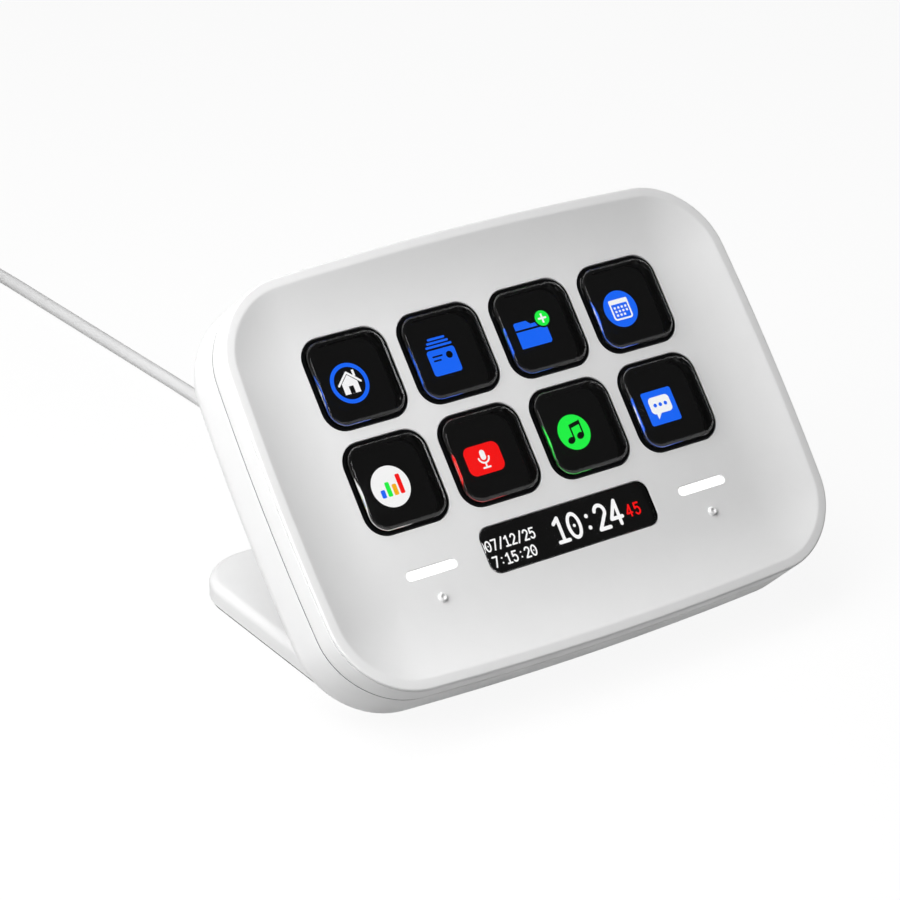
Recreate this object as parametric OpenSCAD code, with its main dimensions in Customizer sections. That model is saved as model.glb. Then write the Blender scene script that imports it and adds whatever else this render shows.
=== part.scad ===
// Desk keypad with eight screen keys, an info bar and two touch points, on a fixed foot.
// +X is to the user's right, +Y is away from the user and the desk is z = 0.
// The case is drawn in its own face frame: x right, y up the face, z out of the face,
// with z = 0 on the floor of the dished face and the origin midway between the eight keys.

/* [Case] */
// Distance from the outer keys' openings to the left and right edges of the face
side_margin = 15.6; // [14.6:0.1:22]
// Height of the face
face_h = 77.8; // [76:0.1:90]
// Radius of the face's corners
corner_r = 13.5; // [10:0.5:16]
// Outward bow of the left and right edges
side_bow = 1.4; // [0.4:0.1:2.4]
// Outward bow of the top and bottom edges
end_bow = 1.8; // [0.6:0.1:2.6]
// Distance from the middle of the key grid down to the middle of the face
face_drop = 7.85; // [7:0.05:8.6]
// Growth of the outline from the rim to the back
flare = 0.5; // [0:0.1:1]
// Tilt of the face from lying flat
face_tilt = 49; // [44:1:54]
// Height of the middle of the key grid above the desk
grid_height = 45.8; // [45:0.1:50]
// Height of the rim above the floor of the dish
rim_rise = 2.3; // [1.8:0.1:3]
// Width of the flat top of the rim
rim_w = 1.4; // [1:0.1:2.2]
// Distance over which the dish falls from the rim to its floor
dish_fall = 13; // [9:0.5:15]
// Thickness of the face plate under the floor of the dish
skin = 1.2; // [1:0.1:1.6]
// Thickness of the face plate's edge, seen above the seam
lip_t = 0.6; // [0.5:0.1:0.9]
// Width of the gaps that show as seams between the shells
seam = 0.15; // [0.1:0.05:0.3]
// Wall of the side frame and of the rear cover
wall = 1.7; // [1.5:0.1:2.2]
// Width of the shelf inside the side frame that the face plate rests on
shelf_w = 4; // [3:0.5:5]
// Thickness of that shelf
shelf_t = 1.2; // [1:0.1:1.3]
// Wall of the tongue that locates the rear cover in the side frame
tongue_t = 1; // [0.8:0.1:1.4]
// Depth of the second seam below the floor of the dish
frame_depth = 3; // [2.9:0.1:3.4]
// Depth of the rear cover's back below the floor of the dish
back_depth = 16; // [15.5:0.1:18]
// Radius round the back of the rear cover
back_round = 6; // [4:0.5:7]
// Thickness of the rear cover's back
back_t = 2; // [1.6:0.1:2.4]

/* [Keys] */
// Spacing of the keys
pitch = 19.5; // [19.3:0.1:20]
// Width of a key's opening in the face plate
opening_w = 17.3; // [16.8:0.1:17.5]
// Radius of the opening's corners
opening_r = 4.1; // [3:0.1:5]
// Gap between a key and its opening
key_gap = 0.2; // [0.12:0.02:0.3]
// Height of a key's top above the floor of the dish
cap_rise = 1; // [0.95:0.05:1.6]
// Radius round the top of a key's lens
cap_round = 1.1; // [0.8:0.05:1.2]
// Height of the black carrier's rim above the floor of the dish
carrier_rise = 0; // [-0.1:0.05:0.1]
// Wall of the black carrier round the lens
carrier_wall = 0.5; // [0.4:0.05:0.7]
// Width of the carrier's ledge that the lens rests on
ledge_w = 0.3; // [0.2:0.05:0.4]
// Depth of that ledge below the floor of the dish
ledge_drop = 0.9; // [0.7:0.05:1]
// Reach of the key's flange beyond the key
flange_reach = 0.65; // [0.5:0.05:0.75]
// Thickness of the key's flange
flange_t = 0.6; // [0.5:0.05:0.8]
// Travel of a key
key_travel = 0.9; // [0.5:0.05:1]
// Height of a pressed dome
dome_h = 0.2; // [0.1:0.05:0.3]
// Diameter of a dome
dome_d = 2; // [1.5:0.1:2.4]
// Thickness of the dome sheet and of the switch sheet
sheet_t = 0.3; // [0.2:0.05:0.4]

/* [Info bar and touch points] */
// Distance from the middle of the key grid down to the info bar
info_drop = 26.1; // [25:0.1:27]
// Width of the info bar
info_w = 36.2; // [30:0.1:38]
// Height of the info bar
info_h = 8.5; // [7:0.1:9]
// Radius of the info bar's corners
info_r = 2.1; // [1:0.1:2.6]
// Distance from the middle of the face to a light bar
bar_x = 29.2; // [28:0.1:30]
// Length of a light bar
bar_w = 10.2; // [8:0.1:11]
// Height of a light bar
bar_h = 1.6; // [1.4:0.1:2.4]
// Depth of a light bar's front below the floor of the dish
bar_sink = 0.3; // [0:0.05:0.5]
// Distance from a light bar down to its touch dot
dot_drop = 5.1; // [4.6:0.1:5.6]
// Diameter of a touch dot
dot_d = 1.5; // [1:0.1:2]
// Diameter of a touch pad under the skin
pad_d = 5; // [4:0.5:7]
// Thickness of a touch pad
pad_film = 0.3; // [0.2:0.05:0.4]
// Diameter of the foam post under a touch pad
post_foam_d = 2.6; // [2:0.1:3.6]
// Distance from a touch dot down to its pad
pad_shift = 0.7; // [0.5:0.1:1]
// Thickness of the rim that holds the info window under the face plate
window_rim_t = 0.6; // [0.5:0.1:0.8]
// Reach of that rim beyond the window
window_rim_w = 1; // [0.6:0.1:1.2]
// Thickness of the info bar's display
info_t = 1.6; // [1.2:0.1:2]

/* [Inside the case] */
// Reach of the key display beyond the outer keys' pockets
screen_edge = 0.45; // [0.3:0.05:0.6]
// Thickness of the key display
screen_t = 2.2; // [1.6:0.1:2.4]
// Wall of the display tray round the key display
tray_lip = 1.2; // [1.1:0.05:1.3]
// Height of the display tray
tray_h = 55; // [52:0.5:56]
// Distance from the middle of the key grid down to the middle of the tray
tray_drop = 7; // [6.8:0.1:7.4]
// Thickness of the display tray's floor
tray_t = 1; // [0.8:0.1:1.2]
// Width of the flat ribbon from the key display
ribbon_w = 16; // [10:1:20]
// Distance from the middle of the key grid up to the ribbon
ribbon_up = 6; // [4:0.5:8]
// Thickness of the ribbon
ribbon_t = 0.2; // [0.15:0.05:0.3]
// Width of the main board
board_w = 76; // [74:1:78]
// Height of the main board
board_h = 54; // [52:1:55]
// Distance from the middle of the key grid down to the middle of the main board
board_drop = 7; // [6.5:0.1:7.5]
// Thickness of the main board
board_t = 1.2; // [0.8:0.1:1.6]
// Gap between the display tray and the main board
board_gap = 1.7; // [1.6:0.1:2]
// Height of the ribbon's socket on the main board
socket_h = 1.2; // [1:0.1:1.3]
// Height of the cable's socket on the main board
lead_socket_h = 2; // [1.6:0.1:2.4]
// Height of a status light on the main board
led_h = 0.7; // [0.4:0.1:0.8]
// Width of the processor
processor_w = 12; // [10:1:14]
// Thickness of the processor
processor_t = 1.2; // [0.8:0.1:1.4]

/* [Screws] */
// Diameter of a screw's shank
shank_d = 2.1; // [1.8:0.1:2.1]
// Diameter of a screw's clearance hole
clear_d = 2.7; // [2.5:0.1:2.8]
// Diameter of a screw's head
head_d = 4.4; // [3.8:0.1:4.4]
// Height of a screw's head
head_h = 1.3; // [1:0.1:1.3]
// Width across the corners of a screw's hexagon socket
socket_w = 1.5; // [1.2:0.1:1.8]
// Diameter of the posts and bosses that the screws bite into
post_d = 5.2; // [4.8:0.1:5.6]
// Diameter of the towers in the rear cover that the case screws pass through
tower_d = 6.4; // [6:0.1:6.4]

/* [Foot] */
// Width of the foot plate
foot_w = 86; // [76:1:96]
// Reach of the foot plate behind the middle of the key grid
foot_back = 44; // [38:0.5:50]
// Reach of the foot plate in front of the middle of the key grid
foot_front = 16; // [15.6:0.1:16.2]
// Height of the foot plate's top above the desk
foot_top = 4.6; // [4.4:0.1:4.8]
// Radius of the foot plate's rear corners
foot_r = 11; // [8:0.5:16]
// Radius of the foot plate's front corners
foot_front_r = 16; // [12:0.5:20]
// Height of the foot plate's front edge above the desk
nose_top = 1.9; // [1.7:0.1:2]
// Length of the slope behind the foot plate's front edge
nose_len = 3; // [2.5:0.1:4]
// Radius round the foot plate's top edge
foot_round = 1.6; // [1:0.1:1.8]
// Height of the foot plate's underside above the desk
pad_show = 0.5; // [0.3:0.05:0.7]
// Thickness of the rubber pad
pad_t = 1; // [0.9:0.05:1.2]
// Inset of the rubber pad from the foot plate's edge
pad_inset = 2; // [1:0.1:3]
// Width of the neck that carries the case
neck_w = 56; // [50:1:58]
// Thickness of the neck
neck_t = 5; // [4.6:0.1:6]
// Length of the neck above the foot plate, up the back of the case
neck_len = 28; // [26:0.5:34]
// Radius between the neck and the foot plate
neck_fillet = 5; // [4:0.5:5.5]
// Thickness of the steel weight in the foot plate
weight_t = 2; // [1.5:0.1:2]
// Width of the steel weight
weight_w = 66; // [50:1:70]
// Length of the steel weight
weight_len = 36; // [30:1:38]
// Distance from the middle of the foot plate back to the middle of the weight
weight_back = 6; // [4:0.5:7]

/* [Cable] */
// Diameter of the cable
cable_d = 2.8; // [2.6:0.1:3]
// Height of the cable's exit above the desk
exit_height = 12.3; // [12:0.1:13]
// Diameter of the strain relief where it passes through the neck
gland_d = 5; // [4.4:0.1:5.4]
// Diameter of the strain relief's flange
flange_d = 7.6; // [7:0.1:8.4]
// Thickness of the strain relief's flange
gland_flange_t = 1.2; // [0.8:0.1:1.6]
// Depth of the flange's seat below the neck's rear face
gland_seat = 1.4; // [0.8:0.1:1.6]
// Turns in the coil, one above another
coil_rows = 4; // [3:1:5]
// Turns in the coil, side by side
coil_columns = 3; // [2:1:4]
// Radius of the coil at the middle of its turns
coil_r = 16.5; // [16:0.1:17]
// Spacing of the coil's turns
turn = 3; // [3:0.1:3.2]
// Width of the tie round the coil
tie_w = 5; // [3:0.5:8]
// Thickness of the tie
tie_t = 0.5; // [0.3:0.05:0.5]
// Length of the plug's moulded grip
grip_len = 22; // [16:1:26]
// Width of the plug's moulded grip
grip_w = 11; // [10:0.5:13]
// Thickness of the plug's moulded grip
grip_t = 6; // [5:0.5:7]
// Length of the plug's metal shell
plug_len = 6.6; // [6:0.1:7]
// Width of the plug's metal shell
shell_w = 8.3; // [8.2:0.1:8.4]
// Thickness of the plug's metal shell
shell_h = 2.5; // [2.4:0.1:2.6]
// Wall of the plug's metal shell
shell_t = 0.35; // [0.3:0.05:0.4]

/* [Hidden] */

// Colours
white = [0.93, 0.93, 0.93];
milky = [0.97, 0.97, 0.97];
black = [0.06, 0.06, 0.07];
clear = [0.55, 0.62, 0.7];
glass = [0.1, 0.1, 0.13];
steel = [0.62, 0.63, 0.65];
tinned = [0.82, 0.83, 0.84];
green = [0.1, 0.35, 0.2];
amber = [0.78, 0.48, 0.17];
silicone = [0.12, 0.12, 0.13];

// Fits
fit = 0.05;         // radial clearance of screws and of the gland
slide = 0.2;        // clearance of drop-in parts
cut = 1;            // how far a cutting solid runs past a face
edge_round = 0.35;  // rounding of the lip's outer edge
proud = 0.1;        // how far the info window stands above the dish's floor

// Levels in the face frame, from the front to the back
lip_z = rim_rise - lip_t;
shelf_z = -skin;
flange_z = shelf_z - flange_t;
dome_top = flange_z - key_travel;
dome_base = dome_top - dome_h;
switch_top = dome_base - sheet_t;
screen_top = switch_top - sheet_t;
tray_top = screen_top - screen_t;
tray_bottom = tray_top - tray_t;
board_top = tray_bottom - board_gap;
board_bottom = board_top - board_t;
floor_z = -back_depth + back_t;
cover_top = -frame_depth - seam;
window_z = shelf_z - window_rim_t;   // underside of the info window
info_z = window_z - info_t;          // underside of the info display
case_meet = -5;                      // where the case towers meet the face plate's bosses
pilot_top = -0.4;                    // upper end of the pilot holes in the face plate

// Key sizes
cap_w = opening_w - 2*key_gap;
cap_r = opening_r - key_gap;
flange_w = cap_w + 2*flange_reach;
flange_r = cap_r + flange_reach;
pocket_w = flange_w + 2*key_gap;
lens_w = cap_w - 2*carrier_wall;
lens_r = cap_r - carrier_wall;
plug_w = lens_w - 2*ledge_w;
plug_r = lens_r - ledge_w;
view_w = plug_w - 0.5;               // window in the sheets under a key
face_w = 3*pitch + opening_w + 2*side_margin;
screen_w = 3*pitch + pocket_w + 2*screen_edge;
screen_h = pitch + pocket_w + 2*screen_edge;
tray_w = screen_w + 2*tray_lip;
dome_x = (view_w + flange_w)/4 + 0.1;
dome_fit_d = min(dome_d, (flange_w - view_w)/2 - 0.1);

// Places of the screws
pilot_d = shank_d + 2*fit;
boss_inset = [10, 10];   // case screws, in from the sides and ends of the face
ear_x = tray_w/2 + tower_d/2 + 0.4;   // tray screws
ear_y = [9, -15];
board_in = 5;            // board screws, in from the ends of the board
board_x = board_w/2 - board_in;
board_y = [15, -20];
stand_x = 18;            // stand screws
stand_y = [-20, -33.5];
stand_bite = 3.6;        // depth of the stand's pilot holes
tip_gap = 0.3;           // from a screw's tip to the end of its hole

// World placing: the origin is under the middle of the whole object
front_reach = (face_h/2 + face_drop - edge_round)*cos(face_tilt) + rim_rise*sin(face_tilt);
shift_y = (foot_back - front_reach)/2;

// A point of the face frame at height y and level z, as [y, z] in the world before the shift
function side_point(y, z) = [
    y*cos(face_tilt) - z*sin(face_tilt),
    grid_height + y*sin(face_tilt) + z*cos(face_tilt)
];
// Height up the face frame at which the back of the case is at a height above the desk
function back_y(height) = (height - grid_height + back_depth*cos(face_tilt))/sin(face_tilt);

// Outline with round corners and bowed edges, counter-clockwise
function arc(c, r, start, steps) =
    [for (i = [0:steps]) c + r*[cos(start + 90*i/steps), sin(start + 90*i/steps)]];
function bowed(p, hw, hh, bx, by) = [
    p[0]*(1 + bx/hw*(1 - pow(p[1]/hh, 2))),
    p[1]*(1 + by/hh*(1 - pow(p[0]/hw, 2)))
];
function outline(w, h, r, bx = 0, by = 0, steps = 6, spans = 1) =
    let (hw = w/2 - bx, hh = h/2 - by, x = hw - r, y = hh - r,
         centres = [[x, y], [-x, y], [-x, -y], [x, -y]],
         arcs = [for (k = [0:3]) arc(centres[k], r, 90*k, steps)])
    [for (k = [0:3]) each concat(
        [for (p = arcs[k]) bowed(p, hw, hh, bx, by)],
        [for (j = [1:1:spans - 1])
            let (a = arcs[k][steps], b = arcs[(k + 1)%4][0])
            bowed(a + (b - a)*j/spans, hw, hh, bx, by)])];

// The face's outline, moved in by an inset
function face_outline(inset) =
    outline(face_w - 2*inset, face_h - 2*inset, max(corner_r - inset, 0.6),
            side_bow, end_bow, 8, 8);
function at_level(points, z) = [for (p = points) [p[0], p[1], z]];
// The outer side of the case at a level, which flares towards the back
function side_ring(z) =
    at_level(face_outline(-flare*(lip_z - z)/(lip_z + back_depth - back_round)), z);

// Closed solid through a stack of like outlines, from the lowest to the highest
module loft(rings) {
    n = len(rings[0]);
    last = (len(rings) - 1)*n;
    polyhedron(
        [for (ring = rings) each ring],
        concat(
            [[for (i = [0:n - 1]) i]],
            [[for (i = [n - 1:-1:0]) last + i]],
            [for (k = [0:len(rings) - 2], i = [0:n - 1], t = [0:1])
                let (a = k*n + i, b = k*n + (i + 1)%n, c = a + n, d = b + n)
                t == 0 ? [a, c, d] : [a, d, b]]
        ));
}

// Puts a piece of the case into the world
module on_face() { translate([0, -shift_y, grid_height]) rotate([face_tilt, 0, 0]) children(); }

// A straight prism between two levels, from an outline or from a rounded rectangle
module prism(points, low, high) { translate([0, 0, low]) linear_extrude(high - low) polygon(points); }
module block(w, h, r, low, high) { prism(outline(w, h, r), low, high); }
module bar(d, low, high) { translate([0, 0, low]) cylinder(h = high - low, d = d, $fn = 32); }
module slot_bar(w, h, low, high) {
    translate([0, 0, low]) linear_extrude(high - low) {
        square([w - h, h], center = true);
        for (s = [-1, 1]) translate([s*(w - h)/2, 0]) circle(d = h, $fn = 32);
    }
}

// Repeats
function key_at(i) = [(i%4 - 1.5)*pitch, (0.5 - floor(i/4))*pitch, 0];
module at_keys() { for (i = [0:7]) translate(key_at(i)) children(); }
module at_bars() { for (s = [-1, 1]) translate([s*bar_x, -info_drop, 0]) children(); }
module at_dots(shift = 0) { at_bars() translate([0, -dot_drop - shift, 0]) children(); }
module at_pairs(x, ys) { for (sx = [-1, 1], y = ys) translate([sx*x, y, 0]) children(); }
module at_bosses() {
    for (sx = [-1, 1], sy = [-1, 1])
        translate([sx*(face_w/2 - boss_inset[0]), sy*(face_h/2 - boss_inset[1]) - face_drop, 0])
            children();
}

// Case shells ---------------------------------------------------------------------------

// Space of the dish above its floor, and of the view in through the rim
module dish_cutter() {
    steps = 7;
    edge = rim_w + edge_round;
    translate([0, -face_drop, 0]) loft([
        for (i = [0:steps])
            at_level(face_outline(edge + dish_fall*(1 - i/steps)), rim_rise*pow(i/steps, 2)),
        at_level(face_outline(edge), rim_rise + cut)
    ]);
}

// Boss under the face plate with a blind pilot hole
module face_boss(low, hole_top) {
    difference() {
        bar(post_d, low, shelf_z);
        bar(pilot_d, low - cut, hole_top);
    }
}

module face_plate() {
    skirt = wall + seam/2;
    color(white) on_face() {
        difference() {
            translate([0, -face_drop, 0]) {
                loft([
                    at_level(face_outline(0), lip_z),
                    at_level(face_outline(0), rim_rise - edge_round),
                    at_level(face_outline(0.3*edge_round), rim_rise - 0.3*edge_round),
                    at_level(face_outline(edge_round), rim_rise)
                ]);
                prism(face_outline(skirt), shelf_z, lip_z);
            }
            dish_cutter();
            at_keys() block(opening_w, opening_w, opening_r, shelf_z - cut, cut);
            translate([0, -info_drop, 0])
                block(info_w + 2*fit, info_h + 2*fit, info_r + fit, shelf_z - cut, cut);
            at_bars() slot_bar(bar_w + 2*fit, bar_h + 2*fit, shelf_z - cut, cut);
            at_bosses() bar(pilot_d, shelf_z - cut, pilot_top);
        }
        at_bosses() face_boss(case_meet, shelf_z + cut);
        at_pairs(ear_x, ear_y) face_boss(tray_top, shelf_z - tip_gap);
        at_dots() intersection() {
            sphere(d = dot_d, $fn = 24);
            bar(2*dot_d, 0, dot_d);
        }
    }
}

module mid_frame() {
    shelf_low = shelf_z - shelf_t;
    color(white) on_face() difference() {
        translate([0, -face_drop, 0]) difference() {
            loft([side_ring(-frame_depth), side_ring(lip_z - seam)]);
            prism(face_outline(wall), -frame_depth - cut, shelf_low);
            prism(face_outline(wall + shelf_w), shelf_low - cut, shelf_z + cut);
            prism(face_outline(wall), shelf_z, lip_z + cut);
        }
        at_bosses() bar(tower_d + 2*slide, -frame_depth - cut, lip_z);
        at_pairs(ear_x, ear_y) bar(tower_d + 2*slide, -frame_depth - cut, lip_z);
    }
}

// The rear cover's outer skin, with a tongue that stands up inside the side frame
module cover_body(tongue) {
    steps = 5;
    loft([
        for (i = [0:steps])
            at_level(face_outline(back_round*(1 - sin(90*i/steps)) - flare),
                     -back_depth + back_round*(1 - cos(90*i/steps))),
        side_ring(cover_top)
    ]);
    prism(face_outline(tongue), cover_top - cut, shelf_z - shelf_t);
}

// The room inside the rear cover
module cover_room(inside) {
    bend = back_round/3;
    loft([
        at_level(face_outline(back_round), floor_z),
        at_level(face_outline(wall + bend), floor_z + bend),
        at_level(face_outline(inside), -back_depth + back_round),
        at_level(face_outline(inside), 0)
    ]);
}

module rear_cover() {
    tongue = wall + seam/2;
    root = floor_z - cut/2;
    color(white) on_face() difference() {
        union() {
            translate([0, -face_drop, 0]) difference() {
                cover_body(tongue);
                cover_room(tongue + tongue_t);
            }
            at_bosses() bar(tower_d, root, case_meet);
            at_pairs(board_x, board_y) bar(post_d, root, board_bottom);
        }
        at_bosses() {
            bar(clear_d, -back_depth - cut, case_meet + cut);
            bar(head_d + 2*slide, -back_depth - cut, floor_z + head_h);
        }
        at_pairs(board_x, board_y) bar(pilot_d, floor_z, board_bottom + cut);
        at_pairs(stand_x, stand_y) bar(clear_d, -back_depth - cut, floor_z + cut);
        translate([0, lead_y, 0]) bar(cable_d + 2, -back_depth - cut, floor_z + cut);
    }
}

// Foot ----------------------------------------------------------------------------------

foot_depth = foot_back + foot_front;
foot_mid = (foot_back - foot_front)/2;
// Height up the face frame of the cable's exit and of the neck's two ends
lead_y = back_y(exit_height);
neck_low = back_y(foot_top);
neck_high = neck_low + neck_len;
// The cable's exit: where it crosses the back of the case, and the seat of its gland
exit_y = side_point(lead_y, -back_depth)[0];
seat_y = exit_y + neck_t/sin(face_tilt) - gland_seat;

// Foot plate outline with its own front and rear corners
function foot_outline(inset) =
    let (hw = foot_w/2 - inset, y0 = -foot_depth/2 + inset, y1 = foot_depth/2 - inset,
         r0 = foot_front_r - inset, r1 = foot_r - inset)
    concat(arc([hw - r1, y1 - r1], r1, 0, 8), arc([r1 - hw, y1 - r1], r1, 90, 8),
           arc([r0 - hw, y0 + r0], r0, 180, 8), arc([hw - r0, y0 + r0], r0, 270, 8));

// Where the line of the neck's rear face meets the foot plate's top, as [y, z]
neck_foot = side_point(neck_low, -back_depth) + [neck_t/sin(face_tilt), 0];
neck_reach = neck_fillet/tan(face_tilt/2);

// Concave arc between the neck's rear face and the foot plate, from the neck to the plate
function neck_arc(steps) =
    [for (i = [0:steps]) let (a = 90 + face_tilt + (180 - face_tilt)*i/steps)
        neck_foot + [neck_reach, neck_fillet] + neck_fillet*[cos(a), sin(a)]];

// Side view of the neck, as [y, z]
function neck_outline() =
    let (low = side_point(neck_low, -back_depth))
    concat(
        [[neck_foot[0] + neck_reach, foot_top - cut], [low[0] + cut, foot_top - cut], low,
         side_point(neck_high, -back_depth), side_point(neck_high, -back_depth - neck_t)],
        neck_arc(10));

// A prism across the object from a side view
module across(w, side_view) {
    translate([-w/2, 0, 0]) rotate([90, 0, 90]) linear_extrude(w) polygon(side_view);
}

module foot_plate() {
    steps = 4;
    nose = -foot_front;
    difference() {
        translate([0, foot_mid, 0]) loft([
            at_level(foot_outline(0), pad_show),
            for (i = [0:steps])
                at_level(foot_outline(foot_round*(1 - cos(90*i/steps))),
                         foot_top - foot_round*(1 - sin(90*i/steps)))
        ]);
        // The front edge slopes back under the case
        across(foot_w + 2*cut, [
            [nose - cut, nose_top], [nose, nose_top], [nose + nose_len, foot_top],
            [nose + nose_len, foot_top + cut], [nose - cut, foot_top + cut]
        ]);
    }
}

// A bar along Y through the cable's exit
module along_exit(d, low, high) {
    translate([0, low, exit_height]) rotate([-90, 0, 0]) cylinder(h = high - low, d = d, $fn = 32);
}

module stand() {
    color(white) translate([0, -shift_y, 0]) difference() {
        union() {
            foot_plate();
            across(neck_w, neck_outline());
        }
        translate([0, foot_mid, 0]) {
            prism(foot_outline(pad_inset), -cut, pad_t);
            translate([0, weight_back, 0])
                block(weight_w + slide, weight_len + slide, 2, pad_t - cut/2, pad_t + weight_t);
        }
        along_exit(gland_d + 2*fit, exit_y - gland_d, seat_y + cut);
        along_exit(flange_d + 2*slide, seat_y, seat_y + 2*flange_d);
        translate([0, shift_y, 0]) on_face() at_pairs(stand_x, stand_y)
            bar(pilot_d, -back_depth - stand_bite, -back_depth + cut);
    }
}

module base_pad() {
    color(black) translate([0, foot_mid - shift_y, 0]) prism(foot_outline(pad_inset + fit), 0, pad_t);
}

module stand_weight() {
    color(steel) translate([0, foot_mid - shift_y + weight_back, 0])
        block(weight_w, weight_len, 2, pad_t, pad_t + weight_t);
}

// Keys ----------------------------------------------------------------------------------

// Outline of a lens, with room for it in its carrier, moved in by an inset
function lens_outline(inset) =
    outline(lens_w - 2*fit - 2*inset, lens_w - 2*fit - 2*inset, lens_r - inset);

// Clear lens of a key: a plug on the carrier's ledge, under a block with a rounded top
module key_cap(i) {
    steps = 5;
    plug = outline(plug_w - 2*fit, plug_w - 2*fit, plug_r);
    color(clear) on_face() translate(key_at(i)) loft([
        at_level(plug, flange_z),
        at_level(plug, -ledge_drop),
        at_level(lens_outline(0), -ledge_drop),
        for (k = [0:steps])
            at_level(lens_outline(cap_round*(1 - cos(90*k/steps))),
                     cap_rise - cap_round*(1 - sin(90*k/steps)))
    ]);
}

// Black ring round the lens, with a flange that keeps it under the face plate
module key_carrier(i) {
    color(black) on_face() translate(key_at(i)) difference() {
        union() {
            block(cap_w, cap_w, cap_r, flange_z, carrier_rise);
            block(flange_w, flange_w, flange_r, flange_z, shelf_z);
        }
        block(plug_w, plug_w, plug_r, flange_z - cut, carrier_rise + cut);
        block(lens_w, lens_w, lens_r, -ledge_drop, carrier_rise + cut);
    }
}

// Plate the size of the key display with a hole at each key
module key_sheet(hole_w, hole_r, low, high) {
    difference() {
        block(screen_w, screen_h, 2, low, high);
        at_keys() block(hole_w, hole_w, hole_r, low - cut, high + cut);
    }
}

// Black grid that keeps the flanges in line, under the face plate
module key_guide() {
    color(black) on_face() key_sheet(pocket_w, flange_r + key_gap, dome_base, shelf_z);
}

// Sheet of rubber with a window and four domes at each key, shown pressed
module dome_sheet() {
    color(silicone) on_face() {
        key_sheet(view_w, lens_r, switch_top, dome_base);
        at_keys() for (a = [0, 90, 180, 270])
            rotate(a) translate([dome_x, 0, 0]) bar(dome_fit_d, dome_base, dome_top);
    }
}

// Printed contacts under the domes
module switch_sheet() { color(black) on_face() key_sheet(view_w, lens_r, screen_top, switch_top); }

// Displays, light pipes and touch points ------------------------------------------------

module key_display() { color(glass) on_face() block(screen_w, screen_h, 1, tray_top, screen_top); }

// Tray that holds the display from behind, hung on four screws under the face plate
module display_tray() {
    arm_in = tray_w/2 - 2;
    color(tinned) on_face() difference() {
        union() {
            translate([0, -tray_drop, 0]) block(tray_w, tray_h, 2, tray_bottom, tray_top);
            difference() {
                block(tray_w, screen_h + 2*tray_lip, 2, tray_bottom, screen_top);
                block(screen_w + slide, screen_h + slide, 1, tray_top, screen_top + cut);
            }
            translate([0, -info_drop, 0]) block(info_w, info_h, 1, tray_bottom, info_z);
            at_pairs(ear_x, ear_y) bar(tower_d, tray_bottom, tray_top);
            at_pairs((arm_in + ear_x)/2, ear_y)
                block(ear_x - arm_in, tower_d - 1, 0.5, tray_bottom, tray_top);
        }
        at_pairs(ear_x, ear_y) bar(clear_d, tray_bottom - cut, tray_top + cut);
        at_bars() slot_bar(bar_w + 2, bar_h + 2, tray_bottom - cut, tray_top + cut);
        at_dots(pad_shift) bar(post_foam_d + 1, tray_bottom - cut, tray_top + cut);
        translate([0, ribbon_up, 0])
            block(ribbon_w + 1, 8*ribbon_t, 0.5, tray_bottom - cut, tray_top + cut);
    }
}

// Flat ribbon from the back of the key display, through the tray, to the main board
module display_ribbon() {
    near = ribbon_up - ribbon_t/2;
    far = ribbon_up + ribbon_t/2;
    end = ribbon_up + 4;
    low = board_top + socket_h;
    color(amber) on_face() across(ribbon_w, [
        [near, tray_top], [far, tray_top], [far, low + ribbon_t],
        [end, low + ribbon_t], [end, low], [near, low]
    ]);
}

module info_window() {
    rim = 2*window_rim_w;
    color(clear) on_face() translate([0, -info_drop, 0]) {
        block(info_w, info_h, info_r, shelf_z, proud);
        block(info_w + rim, info_h + rim, info_r + window_rim_w, window_z, shelf_z);
    }
}

module info_display() {
    color(glass) on_face() translate([0, -info_drop, 0])
        block(info_w + window_rim_w, info_h + window_rim_w, 1, info_z, window_z);
}

// Milky bar from the status lights on the board up to the face, with a rim under the skin
module light_pipe(side) {
    rim = 1.8;
    color(milky) on_face() translate([side*bar_x, -info_drop, 0]) {
        slot_bar(bar_w, bar_h, board_top + led_h + tip_gap, -bar_sink);
        slot_bar(bar_w + rim, bar_h + rim, window_z, shelf_z);
    }
}

module touch_pads() { color(amber) on_face() at_dots(pad_shift) bar(pad_d, shelf_z - pad_film, shelf_z); }

// Conductive foam between the touch pads and the main board
module touch_posts() {
    color([0.35, 0.35, 0.37]) on_face() at_dots(pad_shift)
        bar(post_foam_d, board_top, shelf_z - pad_film);
}

// Board ---------------------------------------------------------------------------------

module main_board() {
    color(green) on_face() difference() {
        translate([0, -board_drop, 0]) block(board_w, board_h, 2, board_bottom, board_top);
        at_pairs(board_x, board_y) bar(clear_d, board_bottom - cut, board_top + cut);
    }
}

// A chip on the back of the main board, with its place and size as shares of the board's width
module chip(x, y, w, h, t) {
    translate([x, y, 0]*board_w)
        block(w*board_w, h*board_w, min(w, h)*board_w/10, board_bottom - t, board_bottom);
}

module processor() {
    side = processor_w/board_w;
    color([0.13, 0.13, 0.14]) on_face() chip(-0.184, 0.026, side, side, processor_t);
}

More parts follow.
